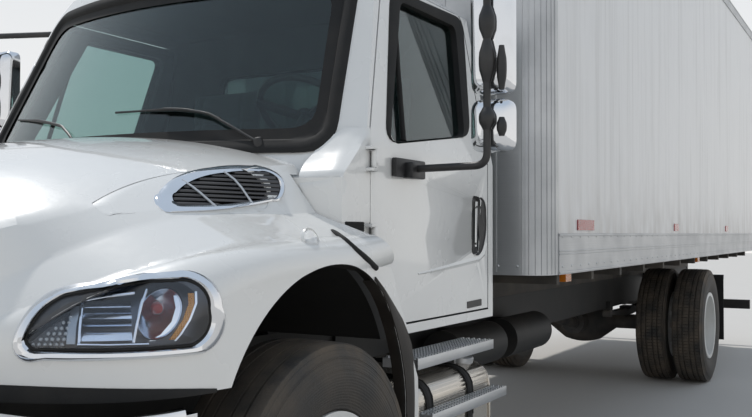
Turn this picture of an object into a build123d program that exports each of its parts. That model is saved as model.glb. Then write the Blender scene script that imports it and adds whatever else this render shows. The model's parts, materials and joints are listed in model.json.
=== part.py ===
# Box truck: a conventional cab behind a tilting hood, on a ladder frame with a dry-freight body.
# Millimetres. +X is forward, +Y is the driver's side, +Z is up. The origin is on the ground,
# under the middle of the truck. A station is a distance ahead of the front axle.
import os
from math import cos, radians, sin, sqrt

from build123d import *

os.makedirs("parts", exist_ok=True)

# Layout along the truck
wheelbase = 6600.0
front_overhang = 1060.0  # bumper face ahead of the front axle
box_setback = 1820.0  # front of the box behind the front axle
box_length = 7920.0
bumper_reach = 60.0  # rear bumper behind the box
front_axle_x = (box_setback + box_length + bumper_reach - front_overhang) / 2
rear_axle_x = front_axle_x - wheelbase
box_front_x = front_axle_x - box_setback
box_rear_x = box_front_x - box_length

# Clearances
seat_gap = 0.3  # between a piece and what carries it
panel_gap = 8.0  # between a moving panel and its opening
running_gap = 0.5  # in a bearing

# Wheels and tyres
tyre_radius = 522.0
tyre_width = 280.0
tread_half = 108.0
bead_radius = 286.0
rim_wall = 12.0
rim_flange = 20.0
flange_inset = 28.0  # a rim's flange stands in from the tyre's side
front_track = 2120.0
dual_track = 1840.0
dual_spacing = 320.0
drum_radius = 205.0
hub_radius = 86.0
spindle_radius = 42.0
hand_hole_radius = 28.0
hand_hole_circle = 190.0
hand_holes = 8

# Ladder frame
rail_half = 432.0  # outer face of a rail
rail_flange = 80.0
rail_height = 260.0
rail_plate = 9.0
rail_top = 960.0
rail_front = 930.0  # rail ends, as stations
rail_rear = -9560.0
cross_height = 105.0
cross_width = 70.0
crossmembers = (820.0, -1750.0, -3300.0, -4700.0, -5900.0, -7300.0, -8500.0, -9500.0)

# Front axle and steering
kingpin_y = 940.0
kingpin_radius = 24.0
eye_radius = 44.0
eye_height = 100.0
beam_width = 90.0
beam_height = 100.0
beam_drop = 70.0
steering_arm = 195.0
tie_rod_z = 385.0
tie_rod_radius = 20.0

# Leaf springs
spring_width = 76.0
spring_y = 432.0
front_spring_span = 1240.0
rear_spring_span = 1400.0
spring_pack = 60.0

# Cab
cab_back = 1640.0  # back of the cab behind the front axle
cab_half = 1045.0
cab_top_half = 910.0
cab_bottom = 990.0
cab_roof = 2520.0
belt_height = 1700.0
cab_wall = 50.0
cowl_nose = 100.0  # the cowl's front behind the front axle at the middle, and at the sides
cowl_side = 270.0
cowl_top = 1575.0
cowl_radius = (cab_half**2 + (cowl_side - cowl_nose) ** 2) / (2 * (cowl_side - cowl_nose))
screen_foot = 1720.0  # height of the cowl's rear edge beside the windscreen
glass_depth = 12.0
glass_thick = 6.0
screen_base = 1690.0
screen_lean = 0.53  # backward run for each unit of rise
screen_nose = -155.0  # station of the screen's base at the centre line
screen_radius = 2100.0
door_front = 470.0
door_rear = 1575.0
door_bottom = 1035.0
door_top = 2415.0
door_skin = 18.0
door_wall = 60.0
pan_step = 24.0  # the door's pan stands in from the edge of its skin
door_zone = 780.0  # a door's edges are cut outside this distance from the middle
door_hinge_out = 16.0
door_hinges = (1370.0, 1650.0)
door_pin = 5.0
hinge_barrel = 60.0

# Hood
hood_wall = 14.0
hood_pivot_station = 985.0
hood_pivot_z = 955.0
hood_hinge_y = 380.0
hood_pin = 8.0
hinge_notch = 48.0
arch_station = -20.0
arch_height = 750.0
arch_radius = 535.0
liner_gap = 28.0
liner_wall = 8.0
liner_inner = 620.0

# Front bumper
bumper_low = 580.0
bumper_high = 925.0
bumper_half = 1150.0
bumper_end = 600.0  # station of the bumper's side ends
bumper_plate = 8.0
bumper_flange = 70.0
tow_eye_station = 935.0
tow_eye_z = 545.0
tow_eye_radius = 40.0
tow_eye_thick = 22.0
tow_pin_radius = 20.0

# Box
box_half = 1252.0
box_bottom = 1175.0
box_floor_top = 1250.0
box_top = 3790.0
box_wall = 22.0
corner_radius = 140.0
corner_depth = 170.0
rail_band = 205.0
top_band = 95.0
rail_proud = 4.0
floor_plate = 35.0
sill_height = 90.0
floor_pitch = 610.0
rear_post = 105.0
rear_frame_depth = 90.0
rear_header = 190.0
cargo_door_wall = 45.0

# Tank, battery box and steps
tank_front = 650.0  # behind the front axle
tank_length = 700.0
tank_inner = 560.0
tank_outer = 1145.0
tank_low = 430.0
tank_high = 820.0
tank_corner = 90.0
battery_corner = 20.0
tread_high = 890.0
tread_low = 690.0
step_front = 655.0
step_run = 740.0


def station(s):
    """X of a place given by its distance ahead of the front axle."""
    return front_axle_x + s


def side_plane(y):
    """A plane across the truck at y, whose own axes are +X and +Z."""
    return Plane(origin=(0, y, 0), x_dir=(1, 0, 0), z_dir=(0, -1, 0))


def cross_plane(x):
    """A plane along the truck at x, whose own axes are +Y and +Z."""
    return Plane(origin=(x, 0, 0), x_dir=(0, 1, 0), z_dir=(1, 0, 0))


def level(z):
    """A plane at height z, whose own axes are +X and +Y."""
    return Plane.XY.offset(z)


def save(builder, label):
    builder.part.label = label
    export_step(builder.part, "parts/" + label + ".step")


def save_pair(builder, label):
    """Writes a left piece and its mirror image on the right."""
    save(builder, label + "_left")
    with BuildPart() as twin:
        mirror(builder.part, about=Plane.XZ)
    save(twin, label + "_right")
    return twin


# Wheels: one tyre outline and one rim outline, turned about the axle


def wheel_axis(axle_x):
    return Axis((axle_x, 0, tyre_radius), (0, 1, 0))


def tyre_section(axle_x, y):
    """A tyre's outline beside its wheel's centre plane at y, as a sketch above the axle."""
    half = tyre_width / 2
    bead_half = half - flange_inset - seat_gap
    tread = 2 * tyre_radius
    bead = tyre_radius + bead_radius + seat_gap
    widest = tyre_radius + 0.5 * (tyre_radius + bead_radius)
    with BuildSketch(cross_plane(axle_x)) as section:
        with BuildLine():
            Line((y - bead_half, bead), (y + bead_half, bead))
            for side in (1, -1):
                Polyline(
                    (y + side * bead_half, bead),
                    (y + side * bead_half, bead + rim_flange + 4),
                    (y + side * half, widest),
                    (y + side * (tread_half + 12), tread - 24),
                    (y + side * tread_half, tread),
                )
            Line((y + tread_half, tread), (y - tread_half, tread))
        make_face()
    return section.sketch


def ring(axle_x, y0, y1, r0, r1):
    """A plain ring about the axle, from y0 to y1 and from radius r0 to r1."""
    with BuildSketch(cross_plane(axle_x)) as section:
        with Locations(((y0 + y1) / 2, tyre_radius + (r0 + r1) / 2)):
            Rectangle(abs(y1 - y0), r1 - r0)
    return section.sketch


def rim_sections(axle_x, y, disc_face, disc_root):
    """A rim's barrel, flanges and dished disc. The disc's flat lies at disc_face."""
    half = tyre_width / 2 - flange_inset
    barrel = bead_radius - rim_wall
    step = rim_wall if disc_face > disc_root else -rim_wall
    dish = 150.0
    with BuildSketch(cross_plane(axle_x)) as section:
        with BuildLine():
            Polyline(
                (disc_root, tyre_radius + barrel + 2),
                (disc_face, tyre_radius + dish),
                (disc_face, tyre_radius + spindle_radius + 20),
                (disc_face - step, tyre_radius + spindle_radius + 20),
                (disc_face - step, tyre_radius + dish - 4),
                (disc_root - step, tyre_radius + barrel + 2),
                close=True,
            )
        make_face()
    return [
        ring(axle_x, y - half, y + half, barrel, bead_radius),
        ring(axle_x, y - half - rim_wall, y - half, barrel, bead_radius + rim_flange),
        ring(axle_x, y + half, y + half + rim_wall, barrel, bead_radius + rim_flange),
        section.sketch,
    ]


def hand_hole_cut(axle_x, y, depth):
    """The round hand holes through a wheel's disc."""
    plane = Plane(origin=(axle_x, y, tyre_radius), x_dir=(1, 0, 0), z_dir=(0, 1, 0))
    with BuildSketch(plane) as holes:
        with PolarLocations(hand_hole_circle, hand_holes):
            Circle(hand_hole_radius)
    return extrude(holes.sketch, amount=depth, both=True)


front_y = front_track / 2
with BuildPart() as tyre_front:
    revolve(tyre_section(front_axle_x, front_y), axis=wheel_axis(front_axle_x))
save_pair(tyre_front, "tyre_front")

with BuildPart() as rim_front:
    for profile in rim_sections(front_axle_x, front_y, front_y + 70, front_y + 20):
        revolve(profile, axis=wheel_axis(front_axle_x))
    add(hand_hole_cut(front_axle_x, front_y + 45, 60), mode=Mode.SUBTRACT)
    for y0, y1, r0, r1 in (
        (front_y - 20, front_y + 120, spindle_radius + running_gap, hub_radius),
        (front_y + 100, front_y + 128, 0.0, hub_radius - 12),
        (front_y - 88, front_y, drum_radius - 14, drum_radius),
        (front_y - 12, front_y, hub_radius - 5, drum_radius - 8),
    ):
        revolve(ring(front_axle_x, y0, y1, r0, r1), axis=wheel_axis(front_axle_x))
save_pair(rim_front, "rim_front")

dual_mid = dual_track / 2
dual_ys = (dual_mid + dual_spacing / 2, dual_mid - dual_spacing / 2)
with BuildPart() as tyres_rear:
    for y in dual_ys:
        revolve(tyre_section(rear_axle_x, y), axis=wheel_axis(rear_axle_x))
save_pair(tyres_rear, "tyres_rear")

with BuildPart() as rims_rear:
    for y, face, root in (
        (dual_ys[0], dual_mid, dual_mid + 85),
        (dual_ys[1], dual_mid, dual_mid - 85),
    ):
        for profile in rim_sections(rear_axle_x, y, face, root):
            revolve(profile, axis=wheel_axis(rear_axle_x))
    add(hand_hole_cut(rear_axle_x, dual_mid, 120), mode=Mode.SUBTRACT)
    for y0, y1, r0, r1 in (
        (dual_mid - 150, dual_mid + 180, spindle_radius + 20 + running_gap, hub_radius + 24),
        (dual_mid + 150, dual_mid + 200, 0.0, hub_radius),
        (dual_mid - 230, dual_mid - 60, drum_radius - 14, drum_radius),
        (dual_mid - 72, dual_mid - 60, hub_radius + 20, drum_radius - 8),
    ):
        revolve(ring(rear_axle_x, y0, y1, r0, r1), axis=wheel_axis(rear_axle_x))
save_pair(rims_rear, "rims_rear")

# Front axle: a dropped I-beam with an eye at each end for the kingpin
eye_low = tyre_radius - eye_height / 2
eye_high = tyre_radius + eye_height / 2
beam_low = eye_low - beam_drop
spring_pad_z = beam_low + beam_height
with BuildPart() as front_axle:
    with BuildSketch(cross_plane(front_axle_x)):
        with BuildLine():
            Polyline(
                (0, beam_low),
                (600, beam_low),
                (kingpin_y - 90, eye_low + 10),
                (kingpin_y, eye_low + 10),
                (kingpin_y, eye_high - 10),
                (kingpin_y - 110, eye_high - 10),
                (560, spring_pad_z),
                (0, spring_pad_z),
                close=True,
            )
        make_face()
        mirror(about=Plane.YZ)
    extrude(amount=beam_width / 2, both=True)
    # the channels in the beam's front and back leave a web
    for face in (front_axle_x + beam_width / 2, front_axle_x - beam_width / 2):
        with BuildSketch(cross_plane(face)):
            with Locations((0, beam_low + beam_height / 2)):
                Rectangle(560 * 2 - 60, beam_height - 44)
        extrude(amount=28, both=True, mode=Mode.SUBTRACT)
    for side in (1, -1):
        with BuildSketch(level(eye_low)):
            with Locations((front_axle_x, side * kingpin_y)):
                Circle(eye_radius)
        extrude(amount=eye_height)
        with BuildSketch(level(eye_low)):
            with Locations((front_axle_x, side * kingpin_y)):
                Circle(kingpin_radius + running_gap)
        extrude(amount=eye_height, mode=Mode.SUBTRACT)
save(front_axle, "front_axle")

# Steering knuckle: kingpin, yoke round the axle's eye, spindle, brake backing plate and arm
yoke_thick = 36.0
yoke_gap = 2.0
with BuildPart() as knuckle:
    with Locations((front_axle_x, kingpin_y, tyre_radius)):
        Cylinder(kingpin_radius, eye_height + 2 * (yoke_gap + yoke_thick))
    for z in (eye_high + yoke_gap + yoke_thick / 2, eye_low - yoke_gap - yoke_thick / 2):
        with Locations((front_axle_x, kingpin_y, z)):
            Cylinder(eye_radius, yoke_thick)
        with Locations((front_axle_x, kingpin_y + 45, z)):
            Box(2 * eye_radius, 90, yoke_thick)
    with Locations((front_axle_x, kingpin_y + eye_radius + 26, tyre_radius)):
        Box(2 * eye_radius, 38, eye_height + 2 * (yoke_gap + yoke_thick))
    with BuildSketch(Plane(origin=(front_axle_x, kingpin_y + 80, tyre_radius), z_dir=(0, 1, 0))):
        Circle(spindle_radius)
    extrude(amount=front_y + 90 - kingpin_y - 80)
    # steering arm, straight back from the kingpin
    with BuildSketch(level(eye_low - yoke_gap - yoke_thick)):
        with Locations((front_axle_x - steering_arm / 2, kingpin_y - 6)):
            Rectangle(steering_arm, 36)
        with Locations((front_axle_x - steering_arm, kingpin_y)):
            Circle(24)
    extrude(amount=30)
    with Locations((front_axle_x - steering_arm, kingpin_y, (tie_rod_z + eye_low) / 2 - 30)):
        Cylinder(11, eye_low - tie_rod_z + 20)
save_pair(knuckle, "knuckle")

# Tie rod between the two steering arms, with an eye at each end
with BuildPart() as tie_rod:
    rod_x = front_axle_x - steering_arm
    with BuildSketch(Plane(origin=(rod_x, 0, tie_rod_z), z_dir=(0, 1, 0))):
        Circle(tie_rod_radius)
    extrude(amount=kingpin_y - 20, both=True)
    for side in (1, -1):
        with Locations((rod_x, side * kingpin_y, tie_rod_z)):
            Cylinder(24, 44)
    for side in (1, -1):
        with Locations((rod_x, side * kingpin_y, tie_rod_z)):
            Cylinder(11 + running_gap, 60, mode=Mode.SUBTRACT)
save(tie_rod, "tie_rod")

nose_reach = 350.0  # the differential's nose ahead of the axle
# Rear axle: a banjo housing with tubes that run into the hubs
with BuildPart() as rear_axle:
    with BuildSketch(Plane(origin=(rear_axle_x, 0, tyre_radius), z_dir=(0, 1, 0))):
        Circle(spindle_radius + 20)
    extrude(amount=dual_mid + 130, both=True)
    with BuildSketch(Plane(origin=(rear_axle_x, 0, tyre_radius), z_dir=(0, 1, 0))):
        Circle(70)
    extrude(amount=640, both=True)
    with BuildSketch(cross_plane(rear_axle_x)):
        with BuildLine():
            Line((-330, tyre_radius), (330, tyre_radius))
            Polyline((330, tyre_radius), (330, tyre_radius + 70), (170, tyre_radius + 185))
            ThreePointArc((170, tyre_radius + 185), (0, tyre_radius + 215), (-170, tyre_radius + 185))
            Polyline((-170, tyre_radius + 185), (-330, tyre_radius + 70), (-330, tyre_radius))
        make_face()
    revolve(axis=wheel_axis(rear_axle_x))
    with BuildSketch(cross_plane(rear_axle_x + 180)):
        with Locations((0, tyre_radius)):
            Circle(110)
    extrude(amount=nose_reach - 180)
save(rear_axle, "rear_axle")


def leaf_pack(axle_x, span, pad_z, eye_z, pack):
    """One leaf spring seen from the side: an arched pack that thins towards its eyes."""
    half = span / 2
    with BuildSketch(side_plane(spring_y + spring_width / 2)) as pack_side:
        with BuildLine():
            ThreePointArc(
                (axle_x - half, eye_z + 12), (axle_x, pad_z + pack), (axle_x + half, eye_z + 12)
            )
            Line((axle_x + half, eye_z + 12), (axle_x + half, eye_z - 6))
            ThreePointArc(
                (axle_x + half, eye_z - 6),
                (axle_x + half / 2, pad_z + 0.3 * (eye_z - 6 - pad_z)),
                (axle_x + 70, pad_z),
            )
            Line((axle_x + 70, pad_z), (axle_x - 70, pad_z))
            ThreePointArc(
                (axle_x - 70, pad_z),
                (axle_x - half / 2, pad_z + 0.3 * (eye_z - 6 - pad_z)),
                (axle_x - half, eye_z - 6),
            )
            Line((axle_x - half, eye_z - 6), (axle_x - half, eye_z + 12))
        make_face()
        for end in (-half, half):
            with Locations((axle_x + end, eye_z)):
                Circle(32)
    return extrude(pack_side.sketch, amount=spring_width, dir=(0, -1, 0))


front_pad_z = spring_pad_z + seat_gap
rear_pad_z = tyre_radius + 70 + seat_gap
front_eye_z = front_pad_z + 130
rear_eye_z = rear_pad_z + 60
with BuildPart() as leaf_springs:
    for axle_x, span, pad_z, eye_z, pack in (
        (front_axle_x, front_spring_span, front_pad_z, front_eye_z, spring_pack),
        (rear_axle_x, rear_spring_span, rear_pad_z, rear_eye_z, spring_pack + 5),
    ):
        add(leaf_pack(axle_x, span, pad_z, eye_z, pack))
        with Locations((axle_x, spring_y, pad_z + pack + 6)):
            Box(150, spring_width + 30, 24)
    mirror(about=Plane.XZ)
save(leaf_springs, "leaf_springs")

# Ladder frame: two channels, crossmembers, spring hangers, tank brackets and cab mounts
rail_low = rail_top - rail_height
with BuildPart() as chassis_frame:
    rail_mid = station((rail_front + rail_rear) / 2)
    rail_run = rail_front - rail_rear
    with Locations((rail_mid, rail_half - rail_flange / 2, rail_top - rail_height / 2)):
        Box(rail_run, rail_flange, rail_height)
    with Locations((rail_mid, rail_half - rail_plate - rail_flange / 2, rail_top - rail_height / 2)):
        Box(rail_run, rail_flange, rail_height - 2 * rail_plate, mode=Mode.SUBTRACT)
    # hangers that carry the spring eyes
    for axle_x, span, eye_z in (
        (front_axle_x, front_spring_span, front_eye_z),
        (rear_axle_x, rear_spring_span, rear_eye_z),
    ):
        for end in (-span / 2, span / 2):
            reach = rail_low + 60 - eye_z - 32
            with Locations((axle_x + end, spring_y, eye_z + 32 + seat_gap + (reach - seat_gap) / 2)):
                Box(90, spring_width, reach - seat_gap)
    # brackets under the tank and the battery box
    for inset in (120.0, tank_length - 120.0):
        x = station(-tank_front - inset)
        with Locations((x, rail_half + 8, (tank_low - 34 + rail_top - 40) / 2)):
            Box(70, 16, rail_top - 40 - tank_low + 34)
        with Locations((x, (rail_half + tank_outer) / 2, tank_low - seat_gap - 17)):
            Box(70, tank_outer - rail_half, 34)
    # rubber mounts under the cab floor
    for s in (-750.0, -cab_back + 120.0):
        with Locations((station(s), rail_half - 50, (rail_top + cab_bottom - seat_gap) / 2)):
            Box(110, 90, cab_bottom - rail_top - seat_gap)
    mirror(about=Plane.XZ)
    for s in crossmembers:
        with Locations((station(s), 0, rail_top - rail_plate - cross_height / 2)):
            Box(cross_width, 2 * (rail_half - rail_plate) + 2, cross_height)
        with Locations((station(s) + rail_plate, 0, rail_top - rail_plate - cross_height / 2)):
            Box(cross_width, 2 * (rail_half - rail_flange) - 20, cross_height - 2 * rail_plate, mode=Mode.SUBTRACT)
save(chassis_frame, "chassis_frame")

gearbox_rear = -1570.0  # station
# Engine with its clutch housing and gearbox, as one block
with BuildPart() as engine:
    with BuildSketch(side_plane(-290)):
        with BuildLine():
            Polyline(
                (station(560), 720),
                (station(560), 1330),
                (station(-75), 1355),
                (station(-75), 1200),
                (station(-200), 1150),
                (station(-200), 955),
                (station(-760), 955),
                (station(-760), 620),
                (station(-100), 560),
                (station(400), 620),
                close=True,
            )
        make_face()
    extrude(amount=-580)
    with BuildSketch(cross_plane(station(-760))):
        with Locations((0, 760)):
            Circle(185)
    with BuildSketch(cross_plane(station(-1150))):
        with Locations((0, 770)):
            Circle(150)
    loft()
    with BuildSketch(cross_plane(station(gearbox_rear))):
        with Locations((0, 770)):
            Rectangle(260, 280)
    extrude(amount=-1150 - gearbox_rear)
save(engine, "engine")

with BuildPart() as radiator:
    with Locations((station(720), 0, 1060)):
        Box(90, 2 * (rail_half - rail_flange - seat_gap), 560)
    with Locations((station(640), 0, 1060)):
        Cylinder(260, 70, rotation=(0, 90, 0))
save(radiator, "radiator")

# Propeller shaft in two lengths, with its middle bearing hung under a crossmember
shaft_z = 770.0
shaft_radius = 46.0
bearing_station = crossmembers[3]
with BuildPart() as propshaft:
    bearing_x = station(bearing_station)
    bearing_radius = rail_top - rail_plate - cross_height - seat_gap - shaft_z
    nose_x = rear_axle_x + nose_reach
    for x0, z0, x1, z1 in (
        (station(gearbox_rear) - 10, shaft_z, bearing_x, shaft_z),
        (bearing_x, shaft_z, nose_x + 16, tyre_radius),
    ):
        run = Vector(x1 - x0, 0, z1 - z0)
        with BuildSketch(Plane(origin=(x0, 0, z0), z_dir=run)):
            Circle(shaft_radius)
        extrude(amount=run.length)
    for x, z, radius, wide in (
        (station(gearbox_rear) - 10, shaft_z, 62.0, 20 - 2 * seat_gap),
        (bearing_x, shaft_z, bearing_radius, 60.0),
        (nose_x + 14, tyre_radius, 62.0, 28 - 2 * seat_gap),
    ):
        with Locations((x, 0, z)):
            Cylinder(radius, wide, rotation=(0, 90, 0))
save(propshaft, "propshaft")


def arc_plan(nose, radius, z):
    """A plan bounded in front by an arc across the cab, with its foremost point at nose."""
    reach = cab_half + 55
    drop = radius - sqrt(radius**2 - reach**2)
    with BuildSketch(level(z)) as plan:
        with BuildLine():
            ThreePointArc((station(nose - drop), -reach), (station(nose), 0), (station(nose - drop), reach))
            Polyline(
                (station(nose - drop), reach),
                (station(nose - 5000), reach),
                (station(nose - 5000), -reach),
                (station(nose - drop), -reach),
            )
        make_face()
    return plan.sketch


def cab_front(inset):
    """What lies behind the windscreen's leaning curve and behind the cowl's upright one."""
    low = cab_bottom - 100
    with BuildPart() as front:
        extrude(arc_plan(-cowl_nose - inset, cowl_radius, low), amount=1000, dir=(0, 0, 1))
        with BuildSketch(side_plane(0)):
            with BuildLine():
                Polyline(
                    (station(-5000), low - 100),
                    (station(-5000), screen_foot - inset),
                    (station(-cowl_side - 165 - 0.45 * inset), screen_foot - inset),
                    (station(-cowl_side - 0.45 * inset), cowl_top - inset),
                    (station(200), cowl_top - inset),
                    (station(200), low - 100),
                    close=True,
                )
            make_face()
        extrude(amount=2 * cab_half, both=True, mode=Mode.INTERSECT)
        # the windscreen's curve, carried up along its lean from the cowl's top
        foot = cowl_top - inset
        nose = screen_nose + screen_lean * (screen_base - foot) - inset * 1.16
        extrude(arc_plan(nose, screen_radius, foot), amount=1400, dir=(-screen_lean, 0, 1))
    return front.part


def cab_block(inset):
    """The cab's solid form, pulled in by inset on every side."""
    with BuildPart() as block:
        with BuildSketch(side_plane(cab_half)):
            with BuildLine():
                Polyline(
                    (station(-cab_back), cab_bottom),
                    (station(-cab_back), cab_roof - 40),
                    (station(-cab_back + 60), cab_roof - 6),
                    (station(-cab_back / 2 - 60), cab_roof),
                    (station(-40), cab_roof - 60),
                    (station(-40), cab_bottom),
                    close=True,
                )
            make_face()
            if inset:
                offset(amount=-inset, kind=Kind.INTERSECTION, mode=Mode.REPLACE)
        extrude(amount=2 * cab_half + 100, both=True)
        with BuildSketch(cross_plane(station(-cab_back - 100))):
            with BuildLine():
                Polyline(
                    (0, cab_bottom - 200),
                    (cab_half, cab_bottom - 200),
                    (cab_half, belt_height),
                    (cab_top_half, cab_roof - 110),
                    (cab_top_half - 130, cab_roof - 14),
                    (0, cab_roof + 12),
                )
                mirror(about=Plane.YZ)
            make_face()
            if inset:
                offset(amount=-inset, kind=Kind.INTERSECTION, mode=Mode.REPLACE)
        extrude(amount=cab_back + 600, mode=Mode.INTERSECT)
        add(cab_front(inset), mode=Mode.INTERSECT)
    return block.part


def side_y(z):
    """The cab side's distance from the middle at a height above the belt."""
    return cab_half - (cab_half - cab_top_half) * (z - belt_height) / (cab_roof - 110 - belt_height)


def wheelhouse(radius):
    """The round of the front wheels, right across the truck."""
    with BuildSketch(side_plane(-cab_half - 200)) as disc:
        with Locations((station(arch_station), arch_height)):
            Circle(radius)
    return extrude(disc.sketch, amount=2 * cab_half + 400, dir=(0, 1, 0))


house_radius = arch_radius + liner_gap + liner_wall + panel_gap
door_pin_x = station(-door_front + 4)
cab_outer = cab_block(0) - wheelhouse(house_radius)
cab_inner = cab_block(cab_wall) - wheelhouse(house_radius + cab_wall)
hood_clear = cab_block(-10)


def door_outline(grow):
    """A door's outline from the side, with its lower front corner cut back from the fender."""
    with BuildSketch(side_plane(door_zone)) as outline:
        with BuildLine():
            Polyline(
                (station(-door_front), 1275),
                (station(-door_front), belt_height + 20),
                (station(-800), door_top),
                (station(-door_rear), door_top),
                (station(-door_rear), door_bottom),
                (station(-625), door_bottom),
                (station(-625), 1085),
                close=True,
            )
        make_face()
        fillet(outline.vertices().group_by(Axis.Y)[-1], 60)
        if grow:
            offset(amount=grow, kind=Kind.INTERSECTION, mode=Mode.REPLACE)
    return outline.sketch


def window_outline(grow):
    with BuildSketch(side_plane(door_zone)) as outline:
        with BuildLine():
            Polyline(
                (station(-612), 1715),
                (station(-1365), 1812),
                (station(-1490), 2352),
                (station(-925), 2352),
                close=True,
            )
        make_face()
        fillet(outline.vertices(), 45)
        if grow:
            offset(amount=grow, mode=Mode.REPLACE)
    return outline.sketch


def to_left(sketch):
    """A side outline as a block through the cab's left side."""
    return extrude(sketch, amount=cab_half - door_zone + 100, dir=(0, 1, 0))


screen_low = 1715.0
screen_high = 2400.0
screen_low_half = 905.0
screen_high_half = 815.0
rear_glass_low = 1760.0
rear_glass_high = 2240.0
rear_glass_half = 560.0


def screen_cut(grow):
    """The windscreen's opening, seen from the front and carried back through the screen."""
    with BuildSketch(cross_plane(station(-900))) as opening:
        with BuildLine():
            Polyline(
                (-screen_low_half, screen_low),
                (screen_low_half, screen_low),
                (screen_high_half, screen_high),
                (-screen_high_half, screen_high),
                close=True,
            )
        make_face()
        fillet(opening.vertices(), 60)
        if grow:
            offset(amount=grow, mode=Mode.REPLACE)
    return extrude(opening.sketch, amount=1200, dir=(1, 0, 0))


def rear_glass_cut(grow):
    with BuildSketch(cross_plane(station(-cab_back - 50))) as opening:
        with Locations((0, (rear_glass_low + rear_glass_high) / 2)):
            RectangleRounded(2 * rear_glass_half, rear_glass_high - rear_glass_low, 60)
        if grow:
            offset(amount=grow, mode=Mode.REPLACE)
    return extrude(opening.sketch, amount=200, dir=(1, 0, 0))


with BuildPart() as cab_shell:
    add(cab_outer)
    add(cab_inner, mode=Mode.SUBTRACT)
    add(screen_cut(0), mode=Mode.SUBTRACT)
    add(rear_glass_cut(0), mode=Mode.SUBTRACT)
    doorway = to_left(door_outline(panel_gap))
    add(doorway, mode=Mode.SUBTRACT)
    add(mirror(doorway, about=Plane.XZ, mode=Mode.PRIVATE), mode=Mode.SUBTRACT)
    # hinge ears and pins on the door posts
    for side in (1, -1):
        for z in door_hinges:
            for up in (1, -1):
                ear_z = z + up * (hinge_barrel / 2 + 9)
                with Locations((door_pin_x + 24, side * (cab_half + 12), ear_z)):
                    Box(26, 36, 12)
                with Locations((door_pin_x + 14, side * (cab_half + door_hinge_out), ear_z)):
                    Box(46, 20, 12)
            with Locations((door_pin_x, side * (cab_half + door_hinge_out), z)):
                Cylinder(door_pin, hinge_barrel + 26)
save(cab_shell, "cab_shell")

with BuildPart() as cab_glass:
    add(screen_cut(-seat_gap))
    add(rear_glass_cut(-seat_gap))
    add(cab_block(glass_depth), mode=Mode.INTERSECT)
    add(cab_block(glass_depth + glass_thick), mode=Mode.SUBTRACT)
save(cab_glass, "cab_glass")

pocket_depth = 13.0
pocket_corners = (
    (station(-1400), 1284),
    (station(-1466), 1290),
    (station(-1494), 1546),
    (station(-1394), 1552),
)
grip_corners = (
    (station(-1430), 1320),
    (station(-1450), 1320),
    (station(-1462), 1525),
    (station(-1436), 1525),
)

# A door is an outer skin with a narrower pan behind it, so that its edge clears the post
with BuildPart() as skin:
    add(to_left(door_outline(0)))
    add(cab_outer, mode=Mode.INTERSECT)
    add(cab_block(door_skin), mode=Mode.SUBTRACT)

with BuildPart() as door:
    add(to_left(door_outline(-pan_step)))
    add(cab_block(door_skin - 1), mode=Mode.INTERSECT)
    add(cab_block(door_wall), mode=Mode.SUBTRACT)
    add(skin.part)
    add(to_left(window_outline(0)), mode=Mode.SUBTRACT)
    # the handle's pocket, and the grip that stands in it
    with BuildSketch(side_plane(cab_half - pocket_depth)):
        with BuildLine():
            Polyline(*pocket_corners, close=True)
        pocket = make_face()
        fillet(pocket.vertices(), 28)
    extrude(amount=pocket_depth + 10, dir=(0, 1, 0), mode=Mode.SUBTRACT)
    with BuildSketch(side_plane(cab_half - pocket_depth - 1)):
        with BuildLine():
            Polyline(*grip_corners, close=True)
        make_face()
    extrude(amount=pocket_depth, dir=(0, 1, 0))
    for z in door_hinges:
        with Locations((door_pin_x - 22, cab_half + 5, z)):
            Box(36, 14, hinge_barrel)
        with Locations((door_pin_x, cab_half + door_hinge_out, z)):
            Cylinder(door_pin + 5, hinge_barrel)
        with Locations((door_pin_x, cab_half + door_hinge_out, z)):
            Cylinder(door_pin + running_gap, hinge_barrel + 10, mode=Mode.SUBTRACT)
save_pair(door, "door")

with BuildPart() as door_glass:
    add(to_left(window_outline(-seat_gap)))
    add(cab_block(door_skin + glass_thick), mode=Mode.INTERSECT)
    add(cab_block(door_skin + 2 * glass_thick), mode=Mode.SUBTRACT)
save_pair(door_glass, "door_glass")

# Mirrors: a folding arm off the door, an upright tube, a flat head over a convex one
mirror_x = station(-750)
arm_y = 1405.0
arm_low = 1630.0
arm_high = 2350.0
stay_x = station(-835)
stay_z = 2290.0
with BuildPart() as mirror_arm:
    with Locations((mirror_x, cab_half + 12 + seat_gap, arm_low)):
        Box(270, 24, 74)
    with BuildSketch(Plane(origin=(mirror_x, cab_half + 20, arm_low), z_dir=(0, 1, 0))):
        Circle(15)
    extrude(amount=arm_y - cab_half - 20)
    with Locations((mirror_x, arm_y, (arm_low + arm_high) / 2)):
        Cylinder(15, arm_high - arm_low + 30)
    top_y = side_y(stay_z) + 2
    stay = Vector(stay_x - mirror_x, top_y - arm_y, stay_z - arm_high)
    with BuildSketch(Plane(origin=(mirror_x, arm_y, arm_high), z_dir=stay)):
        Circle(12)
    extrude(amount=stay.length)
    for y, z, wide, high in ((arm_y + 12, 2110.0, 170.0, 400.0), (arm_y + 12, 1790.0, 170.0, 180.0)):
        with BuildSketch(cross_plane(mirror_x - 75)):
            with Locations((y, z)):
                RectangleRounded(wide, high, 40)
        with BuildSketch(cross_plane(mirror_x - 25)):
            with Locations((y, z)):
                RectangleRounded(wide, high, 40)
        with BuildSketch(cross_plane(mirror_x + 35)):
            with Locations((y, z)):
                RectangleRounded(wide - 60, high - 60, 30)
        loft()
save_pair(mirror_arm, "mirror")

wheel_centre = Vector(station(-960), 450, 1900)
wheel_lean = Vector(-0.62, 0, 0.78)
ring_plane = Plane(origin=wheel_centre, x_dir=(0, 1, 0), z_dir=wheel_lean)
column_length = 430.0

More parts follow.
